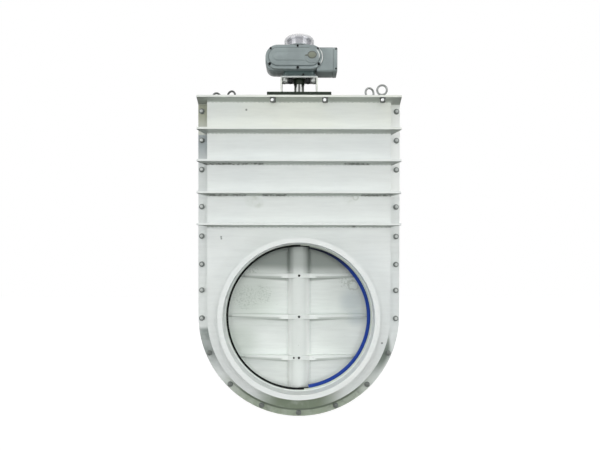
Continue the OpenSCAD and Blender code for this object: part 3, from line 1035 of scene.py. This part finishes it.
# The same, then radius and length of the bolt's end
BRACKET_NUT = (0.022, 0.014, 0.0128, 0.003, 0.008, 0.005)
FOOT_BOLT = (0.0165, 0.017, 0.0098, 0.002, 0.007, 0.003)
TOP_NUT_TURN = 0.26
BASE_INSET = (0.024, 0.015)    # from the base plate's edges to its screws, along X and Y
TOP_NUT_X = 0.1035
TOP_NUT_INSET = 0.0128         # from the top plate's edges
EYE_NUT_SHIFT = 0.02           # from the middle of the lifting eye
NUT_HIGHLIGHT = (0.0062, 0.0012, 0.0005)     # Painted highlight disc on each nut's face: radius, height and rounding
HIGHLIGHT_ACROSS = 0.0026            # from the nut's middle to its highlight disc
HIGHLIGHT_OUT = 0.0099
HIGHLIGHT_DROP = 0.0105
BRACKET_NUT_X = 0.0605
FOOT_BOLT_X = 0.0365
FRONT_ROW = 0.028              # from the valve's middle to the bracket's front bolts
HUB_WALL = 0.0015
WELD_PITCH = 0.006
GATE_WELD_START = 0.035        # over the gate's lower edge
GATE_WELD_SHORT = 0.09         # how much shorter than the pipe the bead is
GATE_WELD_SINK = 0.0012


def bolt_head(across, height, washer, washer_t):
    """A hexagon on its washer, standing on the XY plane."""
    radius = across / 2 / math.cos(math.pi / 6)
    return joined([(puck(washer, washer_t, washer_t * 0.3), [at(0, 0, 0)]),
                   (puck(radius, height, across * 0.07, 6), [at(0, 0, washer_t)])])


def head_face(across, height, washer_t):
    """The turned face on top of a hexagon head."""
    face = puck(across * 0.34, height * 0.1, height * 0.05, 20)
    return joined([(face, [at(0, 0, washer_t + height)])])


def bolt_nut(across, height, washer, washer_t, shank, tail):
    """A nut on its washer, with the bolt's end standing out of it."""
    return joined([(bolt_head(across, height, washer, washer_t), [at(0, 0, 0)]),
                   (puck(shank, tail, shank * 0.25, 20), [at(0, 0, washer_t + height)])])


def socket_screw(radius, height, socket):
    """A cap screw with a six-sided socket in its head."""
    part = puck(radius, height, radius * 0.18)
    face = max(part.faces, key=lambda f: (f.calc_center_median().z, f.calc_area()))
    bmesh.ops.inset_region(part, faces=[face], thickness=radius - socket, depth=0)
    raise_faces(part, [face], -height * 0.6)
    return part


def flange_bolt_places(settings):
    """(x, z) of each flange bolt: two upright rows joined by an arc under the port."""
    bolt_r = flange_r - settings.bolt_set
    sides = [(side * bolt_r, z) for side in (-1, 1) for z in SIDE_BOLTS]
    step = math.pi / (settings.arc_bolts + 1)
    arc = [(bolt_r * math.cos(n * step), -bolt_r * math.sin(n * step))
           for n in range(1, settings.arc_bolts + 1)]
    return sides + arc


class VALVE_OT_add_flange_bolts(bpy.types.Operator):
    """Add the bolts round the flange, with heads in front and nuts behind"""
    bl_idname = "valve.add_flange_bolts"
    bl_label = "Flange Bolts"

    def execute(self, context):
        settings = context.scene.valve_fasteners
        across, height = settings.bolt_across, settings.bolt_head
        sizes = (across, height, settings.washer_r, settings.washer_t)
        places = list(enumerate(flange_bolt_places(settings)))
        ahead = [at(x, flange_y, z, FRONT @ Matrix.Rotation(HEAD_TURN * n, 4, "Z"))
                 for n, (x, z) in places]
        behind = [at(x, flange_rear_y, z, REAR @ Matrix.Rotation(NUT_TURN * n, 4, "Z"))
                  for n, (x, z) in places]
        add_piece("flange_bolt_heads", "bolt_steel",
                  [(bolt_head(*sizes), ahead)])
        # The heads' brighter faces are a painted highlight
        add_piece("flange_bolt_faces", "bolt_face",
                  [(head_face(across, height, settings.washer_t), ahead)])
        add_piece("flange_bolt_nuts", "zinc",
                  [(bolt_nut(*sizes, across / 3, FLANGE_TAIL), behind)])
        return {"FINISHED"}


class VALVE_OT_add_top_bolts(bpy.types.Operator):
    """Add the bolts of the actuator's base and bracket, and the nuts under the top plate"""
    bl_idname = "valve.add_top_bolts"
    bl_label = "Top Bolts"

    def execute(self, context):
        base_low, base_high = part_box("base_plate")
        reach_x = base_high.x - BASE_INSET[0]
        reach_y = (base_high.y - base_low.y) / 2 - BASE_INSET[1]
        add_piece("base_bolts", "dark_steel", [(socket_screw(*BASE_SCREW), [
            at(sx * reach_x, mid_y + sy * reach_y, base_high.z)
            for sx in (-1, 1) for sy in (-1, 1)])])

        nut_y = mid_y - low("top_plate").y - TOP_NUT_INSET
        eye = centre("lifting_eye_4")
        under = [(side * TOP_NUT_X, mid_y + way * nut_y, way)
                 for side in (-1, 1) for way in (-1, 1)]
        under.append((eye.x, eye.y - EYE_NUT_SHIFT, -1))
        add_piece("top_plate_nuts", "dark_steel", [(bolt_head(*TOP_NUT), [
            at(x, y, top_under, DOWN @ Matrix.Rotation(TOP_NUT_TURN, 4, "Z"))
            for x, y, way in under])])
        # Bright discs on the nuts' faces, a painted highlight
        add_piece("top_plate_nut_highlights", "bright_cap", [(puck(*NUT_HIGHLIGHT), [
            at(x + way * HIGHLIGHT_ACROSS, y + way * HIGHLIGHT_OUT, top_under - HIGHLIGHT_DROP,
               (FRONT if way < 0 else REAR) @ Matrix.Rotation(TOP_NUT_TURN * way, 4, "Y"))
            for x, y, way in under])])

        for name, kind, size, x in (("bracket_nuts", "zinc", BRACKET_NUT, BRACKET_NUT_X),
                                    ("foot_bolts", "black_screw", FOOT_BOLT, FOOT_BOLT_X)):
            add_piece(name, kind, [(bolt_nut(*size), [
                at(side * x, mid_y - FRONT_ROW, low("bracket_top").z, DOWN)
                for side in (-1, 1)])])

        start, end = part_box("drive_coupling")
        hub = stem_r + HUB_WALL
        height = end.z - start.z
        profile = [(0, 0), (stem_r, 0), (hub, HUB_WALL), (hub, height * 0.74),
                   (hub + 0.004, height * 0.8), (end.x, height * 0.8), (end.x, height),
                   (0, height)]
        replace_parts(add_piece("turned_coupling", "black_enamel", [
            (spun(profile, 64), [at(0, mid_y, start.z)])], "stem", 0.5), "drive_coupling")
        return {"FINISHED"}


def bead_line(length, leg):
    """A straight fillet bead along +X in the corner of the XY and XZ planes."""
    part = bmesh.new()
    arc = [(leg, 0), (leg * 0.62, leg * 0.3), (leg * 0.3, leg * 0.62), (0, leg), (0, 0)]
    verts = [part.verts.new((0, y, z)) for y, z in arc]
    ring = [part.edges.new(pair) for pair in zip(verts, verts[1:] + verts[:1])]
    steps = max(2, round(length / WELD_PITCH))
    for step in range(steps):
        grown = bmesh.ops.extrude_edge_only(part, edges=ring)["geom"]
        verts = [g for g in grown if isinstance(g, bmesh.types.BMVert)]
        ring = [g for g in grown if isinstance(g, bmesh.types.BMEdge)
                and all(v in verts for v in g.verts)]
        bmesh.ops.translate(part, vec=(length / steps, 0, 0), verts=verts)
    for vertex in part.verts:
        ripple = 0.16 * math.sin(vertex.co.x / WELD_PITCH * 2.2)
        vertex.co.yz *= 1 + ripple + 0.2 * noise.noise(vertex.co * 90)
    bmesh.ops.holes_fill(part, edges=[e for e in part.edges if len(e.link_faces) == 1],
                         sides=len(arc))
    return part


class VALVE_OT_add_welds(bpy.types.Operator):
    """Add the painted weld beads along the ribs, the top plate and the port rings"""
    bl_idname = "valve.add_welds"
    bl_label = "Weld Beads"

    def execute(self, context):
        leg = context.scene.valve_fasteners.weld
        flip = Matrix.Diagonal((1, 1, -1, 1))
        heights = [top_under - n * rib_pitch for n in range(1, rib_count + 1)]
        beads, rings = [], []
        for side, turn in FACES:
            face = mid_y + side * (mid_y - plate_y)
            mirror = Matrix.Diagonal((1, side, 1, 1))
            places = [at(-body_r, face, z, mirror @ flip) for z in heights + [top_under]]
            places += [at(-body_r, face, z + rib_t, mirror) for z in heights]
            beads.append((bead_line(2 * body_r, leg), places))
            ring = spun([(neck_r, 0), (neck_r + leg, 0), (neck_r + leg * 0.3, leg * 0.62),
                         (neck_r, leg * 1.1)], 240)
            for vertex in ring.verts:
                vertex.co.xy *= 1 + 0.0006 * noise.noise(vertex.co * 60)
            rings.append((ring, [at(0, face, 0, turn)]))
        add_piece("rib_welds", "rib_paint", beads, smooth=1.2)

        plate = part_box("gate_plate")
        pipe_high = high("gate_pipe")
        upright = Matrix.Rotation(-math.pi / 2, 4, "Y") @ flip
        places = [
            at(way * (pipe_high.x - GATE_WELD_SINK), face.y, plate[0].z + GATE_WELD_START,
               Matrix.Diagonal((way, side, 1, 1)) @ upright)
            for side, face in zip((-1, 1), plate) for way in (-1, 1)]
        length = pipe_high.z - plate[0].z - GATE_WELD_SHORT
        add_piece("gate_welds", "gate_paint",
                  [(bead_line(length, leg * 1.3), places)], "gate", 1.2)
        add_piece("neck_welds", "rib_paint", rings, smooth=1.2)
        return {"FINISHED"}


# ---- Port and gate ----

BLACK_ACROSS = 0.0043      # half the width of the front's black cord
REAR_ACROSS = 0.005
BLUE_ACROSS = 0.0078
BLUE_R = 0.2836            # radius of the blue cord's middle
BLUE_THIN = 0.75
BLACK_DRIFT = 0.0008       # how far the cords stray from a true circle
BLUE_DRIFT = 0.0006
TOP_GAP = 0.006            # where the black cord's ends stand, beside the middle
BOTTOM_GAP = 0.022
LINK_END = 0.05
PLUG = (0.005, 0.0012, 0.0006, 16)         # radius, height, rounding and sides
SMALL_PLUG = (0.004, 0.001, 0.0005, 12)
PLUG_X = 0.001
SMALL_PLUG_X = -0.02


def port_cord(radius, across, along, start, angle, drift=0.0, thin=0.0):
    """A rubber cord round the port, which strays a little from a true circle.

    thin is the angle over which its far end draws down to a third of its width.
    """
    steps = max(12, round(angle / TURN * 180))
    part = bent_tube(radius, across, along, start, angle, steps)
    for vertex in part.verts:
        around = math.atan2(vertex.co.y, vertex.co.x)
        if thin:
            left = min(1.0, max(0.0, (start + angle - around) / thin))
            reach = vertex.co.xy.length
            vertex.co.xy *= (radius + (reach - radius) * (0.3 + 0.7 * left)) / reach
        stray = drift * (math.sin(3 * around + 0.8) * 0.5 + math.sin(7 * around) * 0.3)
        vertex.co.xy *= 1 + stray / radius
    return part


class VALVE_OT_add_port_cords(bpy.types.Operator):
    """Add the black and blue rubber cords in the ports"""
    bl_idname = "valve.add_port_cords"
    bl_label = "Port Cords"

    def execute(self, context):
        trim_low, trim_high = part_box("front_trim_left")
        half = (trim_high.y - trim_low.y) / 2
        black_r = trim_high.z - half
        blue_end = low("front_trim_right").x
        ahead = [at(0, (trim_low.y + trim_high.y) / 2, 0, FRONT)]
        behind = [at(0, centre("rear_trim").y, 0, FRONT)]
        top, bottom = math.pi / 2, 3 * math.pi / 2
        gap_top = math.asin(TOP_GAP / black_r)
        gap_bottom = math.asin(BOTTOM_GAP / black_r)
        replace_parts(add_piece("black_port_cord", "black_rubber", [
            (port_cord(black_r, BLACK_ACROSS, half, top - gap_top,
                       math.pi + gap_top + gap_bottom, BLACK_DRIFT), ahead)]),
            "front_trim_left")

        start = math.asin(blue_end / BLUE_R)
        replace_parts(add_piece("blue_port_cord", "blue_rubber", [
            (port_cord(BLUE_R, BLUE_ACROSS, half, start - top, math.pi - 2 * start,
                       BLUE_DRIFT, BLUE_THIN), ahead)]), "front_trim_right")

        lead = math.asin((blue_end + 0.004) / black_r)
        add_piece("cord_link", "black_rubber", [
            (port_cord(black_r - 0.002, 0.0028, 0.0035, bottom,
                       math.asin(LINK_END / black_r)), ahead),
            (port_cord(black_r - 0.001, 0.003, 0.0035, top - lead, lead - gap_top + 0.004),
             ahead)])
        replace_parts(add_piece("rear_port_cord", "black_rubber", [
            (port_cord(black_r, REAR_ACROSS, half, 0, TURN, BLACK_DRIFT), behind)]),
            "rear_trim")
        return {"FINISHED"}


class VALVE_OT_add_gate_plugs(bpy.types.Operator):
    """Add the small dark plugs at the middle of the gate's cross ribs"""
    bl_idname = "valve.add_gate_plugs"
    bl_label = "Gate Plugs"

    def execute(self, context):
        rows = gate_rib_rows()
        plugs = []
        for side, turn in FACES:
            face = mid_y + side * (mid_y - gate_rib_y)
            plugs += [
                (puck(*PLUG), [at(PLUG_X, face, z, turn) for z in rows]),
                (puck(*SMALL_PLUG), [at(SMALL_PLUG_X, face, rows[0], turn)])]
        add_piece("gate_plugs", "black_screw", plugs, "gate")
        return {"FINISHED"}


# ---- Actuator ----

BLOCK_GAP = 0.0014         # how much shallower the square lower half is than the round one
BLOCK_LIFT = 0.0006
BLOCK_CORNER = 0.032
FOOT_SCREW_X = 0.017


class VALVE_OT_add_gear_housing(bpy.types.Operator):
    """Add the rounded gear housing and the foot that it stands on"""
    bl_idname = "valve.add_gear_housing"
    bl_label = "Gear Housing"

    def execute(self, context):
        edge = context.scene.valve_actuator.housing_round
        left, right, middle, radius = housing_ends()
        start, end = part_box("gear_housing")
        shell = stadium(left, right, radius)
        raise_faces(shell, shell.faces[:], end.y - start.y)
        round_edges(shell, sharp_edges(shell), edge, 3)
        block = slab(right - left + radius, end.y - start.y - BLOCK_GAP, radius)
        corner = [e for e in edges_along(block, 1)
                  if e.verts[0].co.x < 0 and e.verts[0].co.z < 0]
        round_edges(block, corner, BLOCK_CORNER, 8)
        round_edges(block, sharp_edges(block, CORNER), edge * 0.8, 3)
        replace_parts(add_piece("rounded_gear_housing", "cast_enamel", [
            (shell, [at(0, end.y, middle, FRONT)]),
            (block, [at((left - radius + right) / 2, (start.y + end.y) / 2,
                        middle - radius / 2 + BLOCK_LIFT)])]), "gear_housing")

        start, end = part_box("actuator_foot")
        size = end - start
        mid = centre("actuator_foot")
        tiers = []
        for width, deep, tall, bottom, corner in (
                (size.x, size.y, 0.0055, start.z, 0.008),
                (size.x * 0.9, size.y * 0.96, size.z - 0.005, start.z + 0.005, 0.014)):
            block = slab(width, deep, tall)
            round_edges(block, edges_along(block, 2), corner, 6)
            round_edges(block, sharp_edges(block, CORNER), 0.0012)
            tiers.append((block, [at(mid.x, mid.y, bottom + tall / 2)]))
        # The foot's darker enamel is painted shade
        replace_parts(add_piece("rounded_foot", "cast_dark", tiers),
                    "actuator_foot")
        add_piece("foot_screw", "black_screw", [
            (socket_screw(*FOOT_SCREW), [
                at(FOOT_SCREW_X, start.y, start.z + size.z * 0.25, FRONT)])])
        return {"FINISHED"}


PANEL_T = 0.004            # height of the cover's raised panel
COVER_GAP = 0.0008         # step between the housing's outline and the cover's
GROOVE_T = 0.003
RIDGE_T = 0.0048
RIDGE_INSET = 0.0052
SEAM_WIDTH = 0.003
SEAM_T = 0.0005
BADGE_OFF = 0.005          # from the middle of the cover's right end to the oval plate
BOSSES = ((0.032, 0.0026), (0.0245, 0.0038))       # radius and height
BOSS_ROUND = 0.001
RIM = (0.019, 0.0012, 0.0005, 48)          # radius, height, rounding and sides
WING = (0.012, 0.001, 0.0005, 32)
PLATE = (0.0145, 0.0018, 0.0005, 48)
OVAL = 0.8                 # height over width
WING_OVAL = 0.3
WING_OFF = (-0.012, 0.003)
SCREW_SET = 0.0065         # from the housing's outline to the cover's screws
SCREW_T = 0.004
MIDDLE_SCREW_X = -0.006
# The cover's rows of screws: side, turn of the outer ones in degrees, and radius
SCREW_ROWS = ((1, 50, 0.004), (-1, 42, 0.0055))


class VALVE_OT_add_front_cover(bpy.types.Operator):
    """Add the stepped front cover with its screws and its plain oval plate"""
    bl_idname = "valve.add_front_cover"
    bl_label = "Front Cover"

    def execute(self, context):
        settings = context.scene.valve_actuator
        left, right, middle, radius = housing_ends()
        start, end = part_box("front_cover")
        rim_t = end.y - start.y - PANEL_T
        outline = radius - COVER_GAP
        cover = stadium(left, right, outline)
        top = raise_faces(cover, cover.faces[:], rim_t)
        for inset, lift in ((settings.cover_border, PANEL_T),
                            (settings.panel_border, -GROOVE_T), (RIDGE_INSET, RIDGE_T)):
            bmesh.ops.inset_region(cover, faces=top, thickness=inset, depth=0)
            top = raise_faces(cover, top, lift)
        for height, width, rounds in ((rim_t + PANEL_T - GROOVE_T + RIDGE_T, 0.001, 2),
                                      (rim_t + PANEL_T, 0.0015, 2), (rim_t, 0.0034, 4)):
            round_edges(cover, edges_at(cover, height), width, rounds)
        parts = [(cover, [at(0, end.y, middle, FRONT)])]
        for boss_r, boss_t in BOSSES:
            parts.append((puck(boss_r, boss_t, BOSS_ROUND, 64),
                          [at(right + BADGE_OFF, start.y, middle + BADGE_OFF, FRONT)]))
        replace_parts(add_piece("stepped_cover", "cover_enamel", parts),
                    "front_cover")

        edge = outline - settings.cover_border
        seams = []
        for outer, height in ((edge + 0.0026, rim_t),
                              (edge - settings.panel_border - 0.0003,
                               rim_t + PANEL_T - GROOVE_T)):
            seam = stadium(left, right, outer)
            bmesh.ops.inset_individual(seam, faces=seam.faces[:], thickness=SEAM_WIDTH,
                                       depth=0)
            inner = max(seam.faces, key=lambda f: f.calc_area())
            bmesh.ops.delete(seam, geom=[inner], context="FACES_ONLY")
            raise_faces(seam, seam.faces[:], SEAM_T)
            seams.append((seam, [at(0, end.y - height, middle, FRONT)]))
        add_piece("cover_seams", "seam_enamel", seams)

        face = start.y - BOSSES[-1][1]
        rim, wing, plate = puck(*RIM), puck(*WING), puck(*PLATE)
        for part, flat in ((rim, OVAL), (wing, WING_OVAL), (plate, OVAL)):
            bmesh.ops.scale(part, vec=(1, flat, 1), verts=part.verts)
        badge = [at(right + BADGE_OFF, face, middle + BADGE_OFF, FRONT)]
        add_piece("oval_rim", "badge_rim", [
            (rim, badge),
            (wing, [at(right + WING_OFF[0], face, middle + WING_OFF[1], FRONT)])])
        add_piece("oval_plate", "plate_enamel", [(plate, badge)])

        spread = radius - SCREW_SET
        screws = []
        for side, corner, size in SCREW_ROWS:
            turn = math.radians(corner)
            places = [(MIDDLE_SCREW_X, spread)]
            places += [(end_x + way * spread * math.cos(turn), spread * math.sin(turn))
                       for end_x, way in ((left, -1), (right, 1))]
            screws.append((socket_screw(size, SCREW_T, size * 0.5), [
                at(x, end.y - rim_t, middle + side * z, FRONT) for x, z in places]))
        add_piece("cover_screws", "black_screw", screws)
        return {"FINISHED"}


MOTOR_SEAM = 0.0012        # gap between the housing and its neighbours
CAP_ROUND = 0.004
SCREW_INSET = 0.009        # from the cap's edges to its screws
SIDE_SCREW_IN = 0.006      # from the cap's end to the screws in its front
SIDE_SCREW_SINK = 0.0008
LOW_SCREW_LIFT = 0.002


class VALVE_OT_add_motor(bpy.types.Operator):
    """Add the rounded motor housing, its end cap and the cap's screws"""
    bl_idname = "valve.add_motor"
    bl_label = "Motor"

    def execute(self, context):
        settings = context.scene.valve_actuator
        start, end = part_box("motor_housing")
        end.x -= settings.cap_more
        middle = (start + end) / 2
        size = end - start
        house = slab(size.x - MOTOR_SEAM, size.y - MOTOR_SEAM, size.z)
        round_edges(house, edges_along(house, 0), settings.motor_round, 5)
        round_edges(house, sharp_edges(house, CORNER), 0.001)
        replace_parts(add_piece("rounded_motor_housing", "cast_enamel", [
            (house, [at(middle.x - MOTOR_SEAM / 2, middle.y - MOTOR_SEAM / 2, middle.z)])]),
            "motor_housing")

        start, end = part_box("motor_cap")
        start.x -= settings.cap_more
        cap = slab(*(end - start))
        round_edges(cap, edges_along(cap, 0), settings.motor_round, 5)
        outer = [e for e in sharp_edges(cap, CORNER) if e.verts[0].co.x > 0]
        round_edges(cap, outer, CAP_ROUND, 3)
        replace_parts(add_piece("rounded_motor_cap", "cast_enamel", [
            (cap, [at(*((start + end) / 2))])]), "motor_cap")

        rows = (start.z + SCREW_INSET, end.z - SCREW_INSET)
        add_piece("motor_screws", "black_screw", [
            (socket_screw(*CAP_SCREW), [
                at(end.x - CAP_SCREW[1], y, z, RIGHT)
                for y in (start.y + SCREW_INSET, end.y - SCREW_INSET) for z in rows]),
            (socket_screw(*CAP_FRONT_SCREW), [
                at(end.x - SIDE_SCREW_IN, start.y + SIDE_SCREW_SINK, z, FRONT)
                for z in (rows[0] + LOW_SCREW_LIFT, rows[1])])])
        return {"FINISHED"}


DRUM_STEP = 0.006          # how far the drum's shoulder stands out
DRUM_ROUND = 0.002
DRUM_CROWN = 0.003
COLLAR_WALL = 0.003
COLLAR_T = (0.004, 0.0055)     # height outside and inside


class VALVE_OT_add_indicator(bpy.types.Operator):
    """Add the striped drum inside the dome and the collar round the dome's foot"""
    bl_idname = "valve.add_indicator"
    bl_label = "Position Indicator"

    def execute(self, context):
        start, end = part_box("indicator_drum")
        radius, height = end.x, end.z - start.z
        neck = radius - DRUM_STEP
        top = height + DRUM_CROWN
        drum = [(0, 0), (neck, 0), (neck, height * 0.86), (radius, height * 0.9),
                (radius, height + DRUM_ROUND), (radius - DRUM_ROUND, top), (0, top)]
        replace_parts(add_piece("striped_drum", "drum_plastic", [
            (spun(drum, 96), [at(0, mid_y, start.z)])], "indicator", 0.4), "indicator_drum")

        outer = high("dome").x
        inner = outer - COLLAR_WALL
        collar = [(inner, 0), (outer, 0), (outer, COLLAR_T[0]), (inner, COLLAR_T[1])]
        add_piece("dome_collar", "cast_enamel", [
            (spun(collar + collar[:1], 96), [at(0, mid_y, low("dome").z)])])
        return {"FINISHED"}


# ---- Stage ----

WHITE = (1, 1, 1)
PANEL_GLOW = 1.7           # strength of the bright panels that show in gloss
CAMERA_X = 0.003
SHIFT = (0.0007, 0.07)     # the camera's shift across and up
SENSOR = 36                # width in millimetres
FLOOR_SIZE = 14
FLOOR_GAP = 0.002


def softbox(name, place, aim, size, energy):
    """A rectangular area light aimed at a place; the studio's panels show in gloss instead."""
    lamp = bpy.data.lights.new(name, "AREA")
    lamp.shape = "RECTANGLE"
    lamp.size, lamp.size_y = size
    lamp.energy = energy
    holder = bpy.data.objects.new(name, lamp)
    holder.visible_glossy = False
    holder.visible_camera = False
    holder.matrix_world = Matrix.Translation(place) @ \
        (Vector(aim) - Vector(place)).to_track_quat("-Z", "Y").to_matrix().to_4x4()
    bpy.context.scene.collection.objects.link(holder)


def floor_material():
    """Pale floor that shows white and throws back little light."""
    material, surface = new_material("stage_floor", Base_Color=(0.12, 0.12, 0.12, 1),
                                     Roughness=0.9)
    tree = surface.tree
    rays = add_node("LightPath", {}, "Is Camera Ray", tree)
    seen = add_node("Emission", {"Color": WHITE, "Strength": rays * 0.95})
    both = add_node("AddShader", {0: Wire(shader_of(material).outputs[0]), 1: seen})
    both.feed(tree.nodes["Material Output"], "Surface")
    return material


def add_floor():
    """The flat floor, which isn't part of the valve."""
    part = bmesh.new()
    bmesh.ops.create_grid(part, x_segments=1, y_segments=1, size=FLOOR_SIZE / 2)
    bmesh.ops.translate(part, vec=(0, 0, low("flange_gasket").z - FLOOR_GAP),
                        verts=part.verts)
    add_object("floor", part, floor_material())


def studio_world(fill):
    """White behind the valve, an even fill, and two bright panels that show in gloss."""
    world = bpy.data.worlds.new("studio")
    world.use_nodes = True
    tree = world.node_tree
    tree.nodes.clear()
    view = add_node("TexCoord", {}, "Generated", tree).split()
    around = abs(view.x.math("ARCTAN2", view.y * -1))
    panels = (around.span(0.3, 0.42, 0.3, PANEL_GLOW)
              + around.span(1.25, 1.45, 0.0, 0.05 - PANEL_GLOW)
              + around.span(2.4, 2.7, 0.0, 0.5))
    glow = between(add_node("LightPath", {}, "Is Glossy Ray", tree), fill, panels)
    glow = between(add_node("LightPath", {}, "Is Camera Ray", tree), glow, 1.0)
    add_node("Background", {"Color": WHITE, "Strength": glow}).feed(
        tree.nodes.new("ShaderNodeOutputWorld"), "Surface")
    return world


class VALVE_OT_set_stage(bpy.types.Operator):
    """Set up the floor, the soft studio light and the camera"""
    bl_idname = "valve.set_stage"
    bl_label = "Stage"

    def execute(self, context):
        scene = context.scene
        settings = scene.valve_stage
        scene.view_settings.view_transform = "Standard"
        scene.view_settings.look = "None"
        scene.world = studio_world(settings.fill)
        add_floor()
        port = (0, mid_y, 0.1)
        softbox("key", (0.1, -5.6, 0.8), port, (5, 2.3), settings.key_energy)
        for side in (-1, 1):
            softbox("flank", (side * 3.4, -2.5, 0.4), port, (2.4, 1.6), settings.flank_energy)
        softbox("overhead", (0, -1.9, 3.6), (0, mid_y, 0), (3, 1.8), settings.top_energy)
        softbox("skirt", (0, -1.1, -0.36), (0, mid_y, -0.3), (1.6, 0.2),
                settings.skirt_energy)
        softbox("rear", (-1.4, 4.0, 1.6), (0, mid_y, 0.4), (3.4, 2.6),
                settings.key_energy * 0.6)

        camera = bpy.data.cameras.new("camera")
        camera.lens = settings.lens
        camera.sensor_width = SENSOR
        camera.shift_x, camera.shift_y = SHIFT
        holder = bpy.data.objects.new("camera", camera)
        holder.matrix_world = (
            Matrix.Translation((CAMERA_X, -settings.distance, settings.height))
            @ Matrix.Rotation(math.pi / 2 + settings.pitch, 4, "X")
            @ Matrix.Rotation(settings.roll, 4, "Z"))
        scene.collection.objects.link(holder)
        scene.camera = holder
        return {"FINISHED"}


SETTINGS = {
    "valve_paint": ValvePaintSettings,
    "valve_fasteners": ValveFastenerSettings,
    "valve_actuator": ValveActuatorSettings,
    "valve_stage": ValveStageSettings,
}

STEPS = (
    VALVE_OT_finish_steelwork,
    VALVE_OT_add_flange_bolts,
    VALVE_OT_add_top_bolts,
    VALVE_OT_add_welds,
    VALVE_OT_add_port_cords,
    VALVE_OT_add_gate_plugs,
    VALVE_OT_add_gear_housing,
    VALVE_OT_add_front_cover,
    VALVE_OT_add_motor,
    VALVE_OT_add_indicator,
    VALVE_OT_set_stage,
)


class VALVE_PT_panel(bpy.types.Panel):
    """Lists the valve's settings and the steps that build it"""
    bl_idname = "VALVE_PT_panel"
    bl_label = "Gate Valve"
    bl_space_type = "VIEW_3D"
    bl_region_type = "UI"
    bl_category = "Valve"

    def draw(self, context):
        for settings in SETTINGS:
            group = getattr(context.scene, settings)
            box = self.layout.box()
            for name in group.bl_rna.properties.keys():
                if name not in {"rna_type", "name"}:
                    box.prop(group, name)
        for step in STEPS:
            self.layout.operator(step.bl_idname)


def register():
    for name, group in SETTINGS.items():
        bpy.utils.register_class(group)
        setattr(bpy.types.Scene, name, PointerProperty(type=group))
    for step in (*STEPS, VALVE_PT_panel):
        bpy.utils.register_class(step)


def unregister():
    for step in (VALVE_PT_panel, *reversed(STEPS)):
        bpy.utils.unregister_class(step)
    for name, group in SETTINGS.items():
        delattr(bpy.types.Scene, name)
        bpy.utils.unregister_class(group)


def main():
    register()
    bpy.ops.valve.finish_steelwork()
    bpy.ops.valve.add_flange_bolts()
    bpy.ops.valve.add_top_bolts()
    bpy.ops.valve.add_welds()
    bpy.ops.valve.add_port_cords()
    bpy.ops.valve.add_gate_plugs()
    bpy.ops.valve.add_gear_housing()
    bpy.ops.valve.add_front_cover()
    bpy.ops.valve.add_motor()
    bpy.ops.valve.add_indicator()
    bpy.ops.valve.set_stage()


if __name__ == "__main__":
    main()
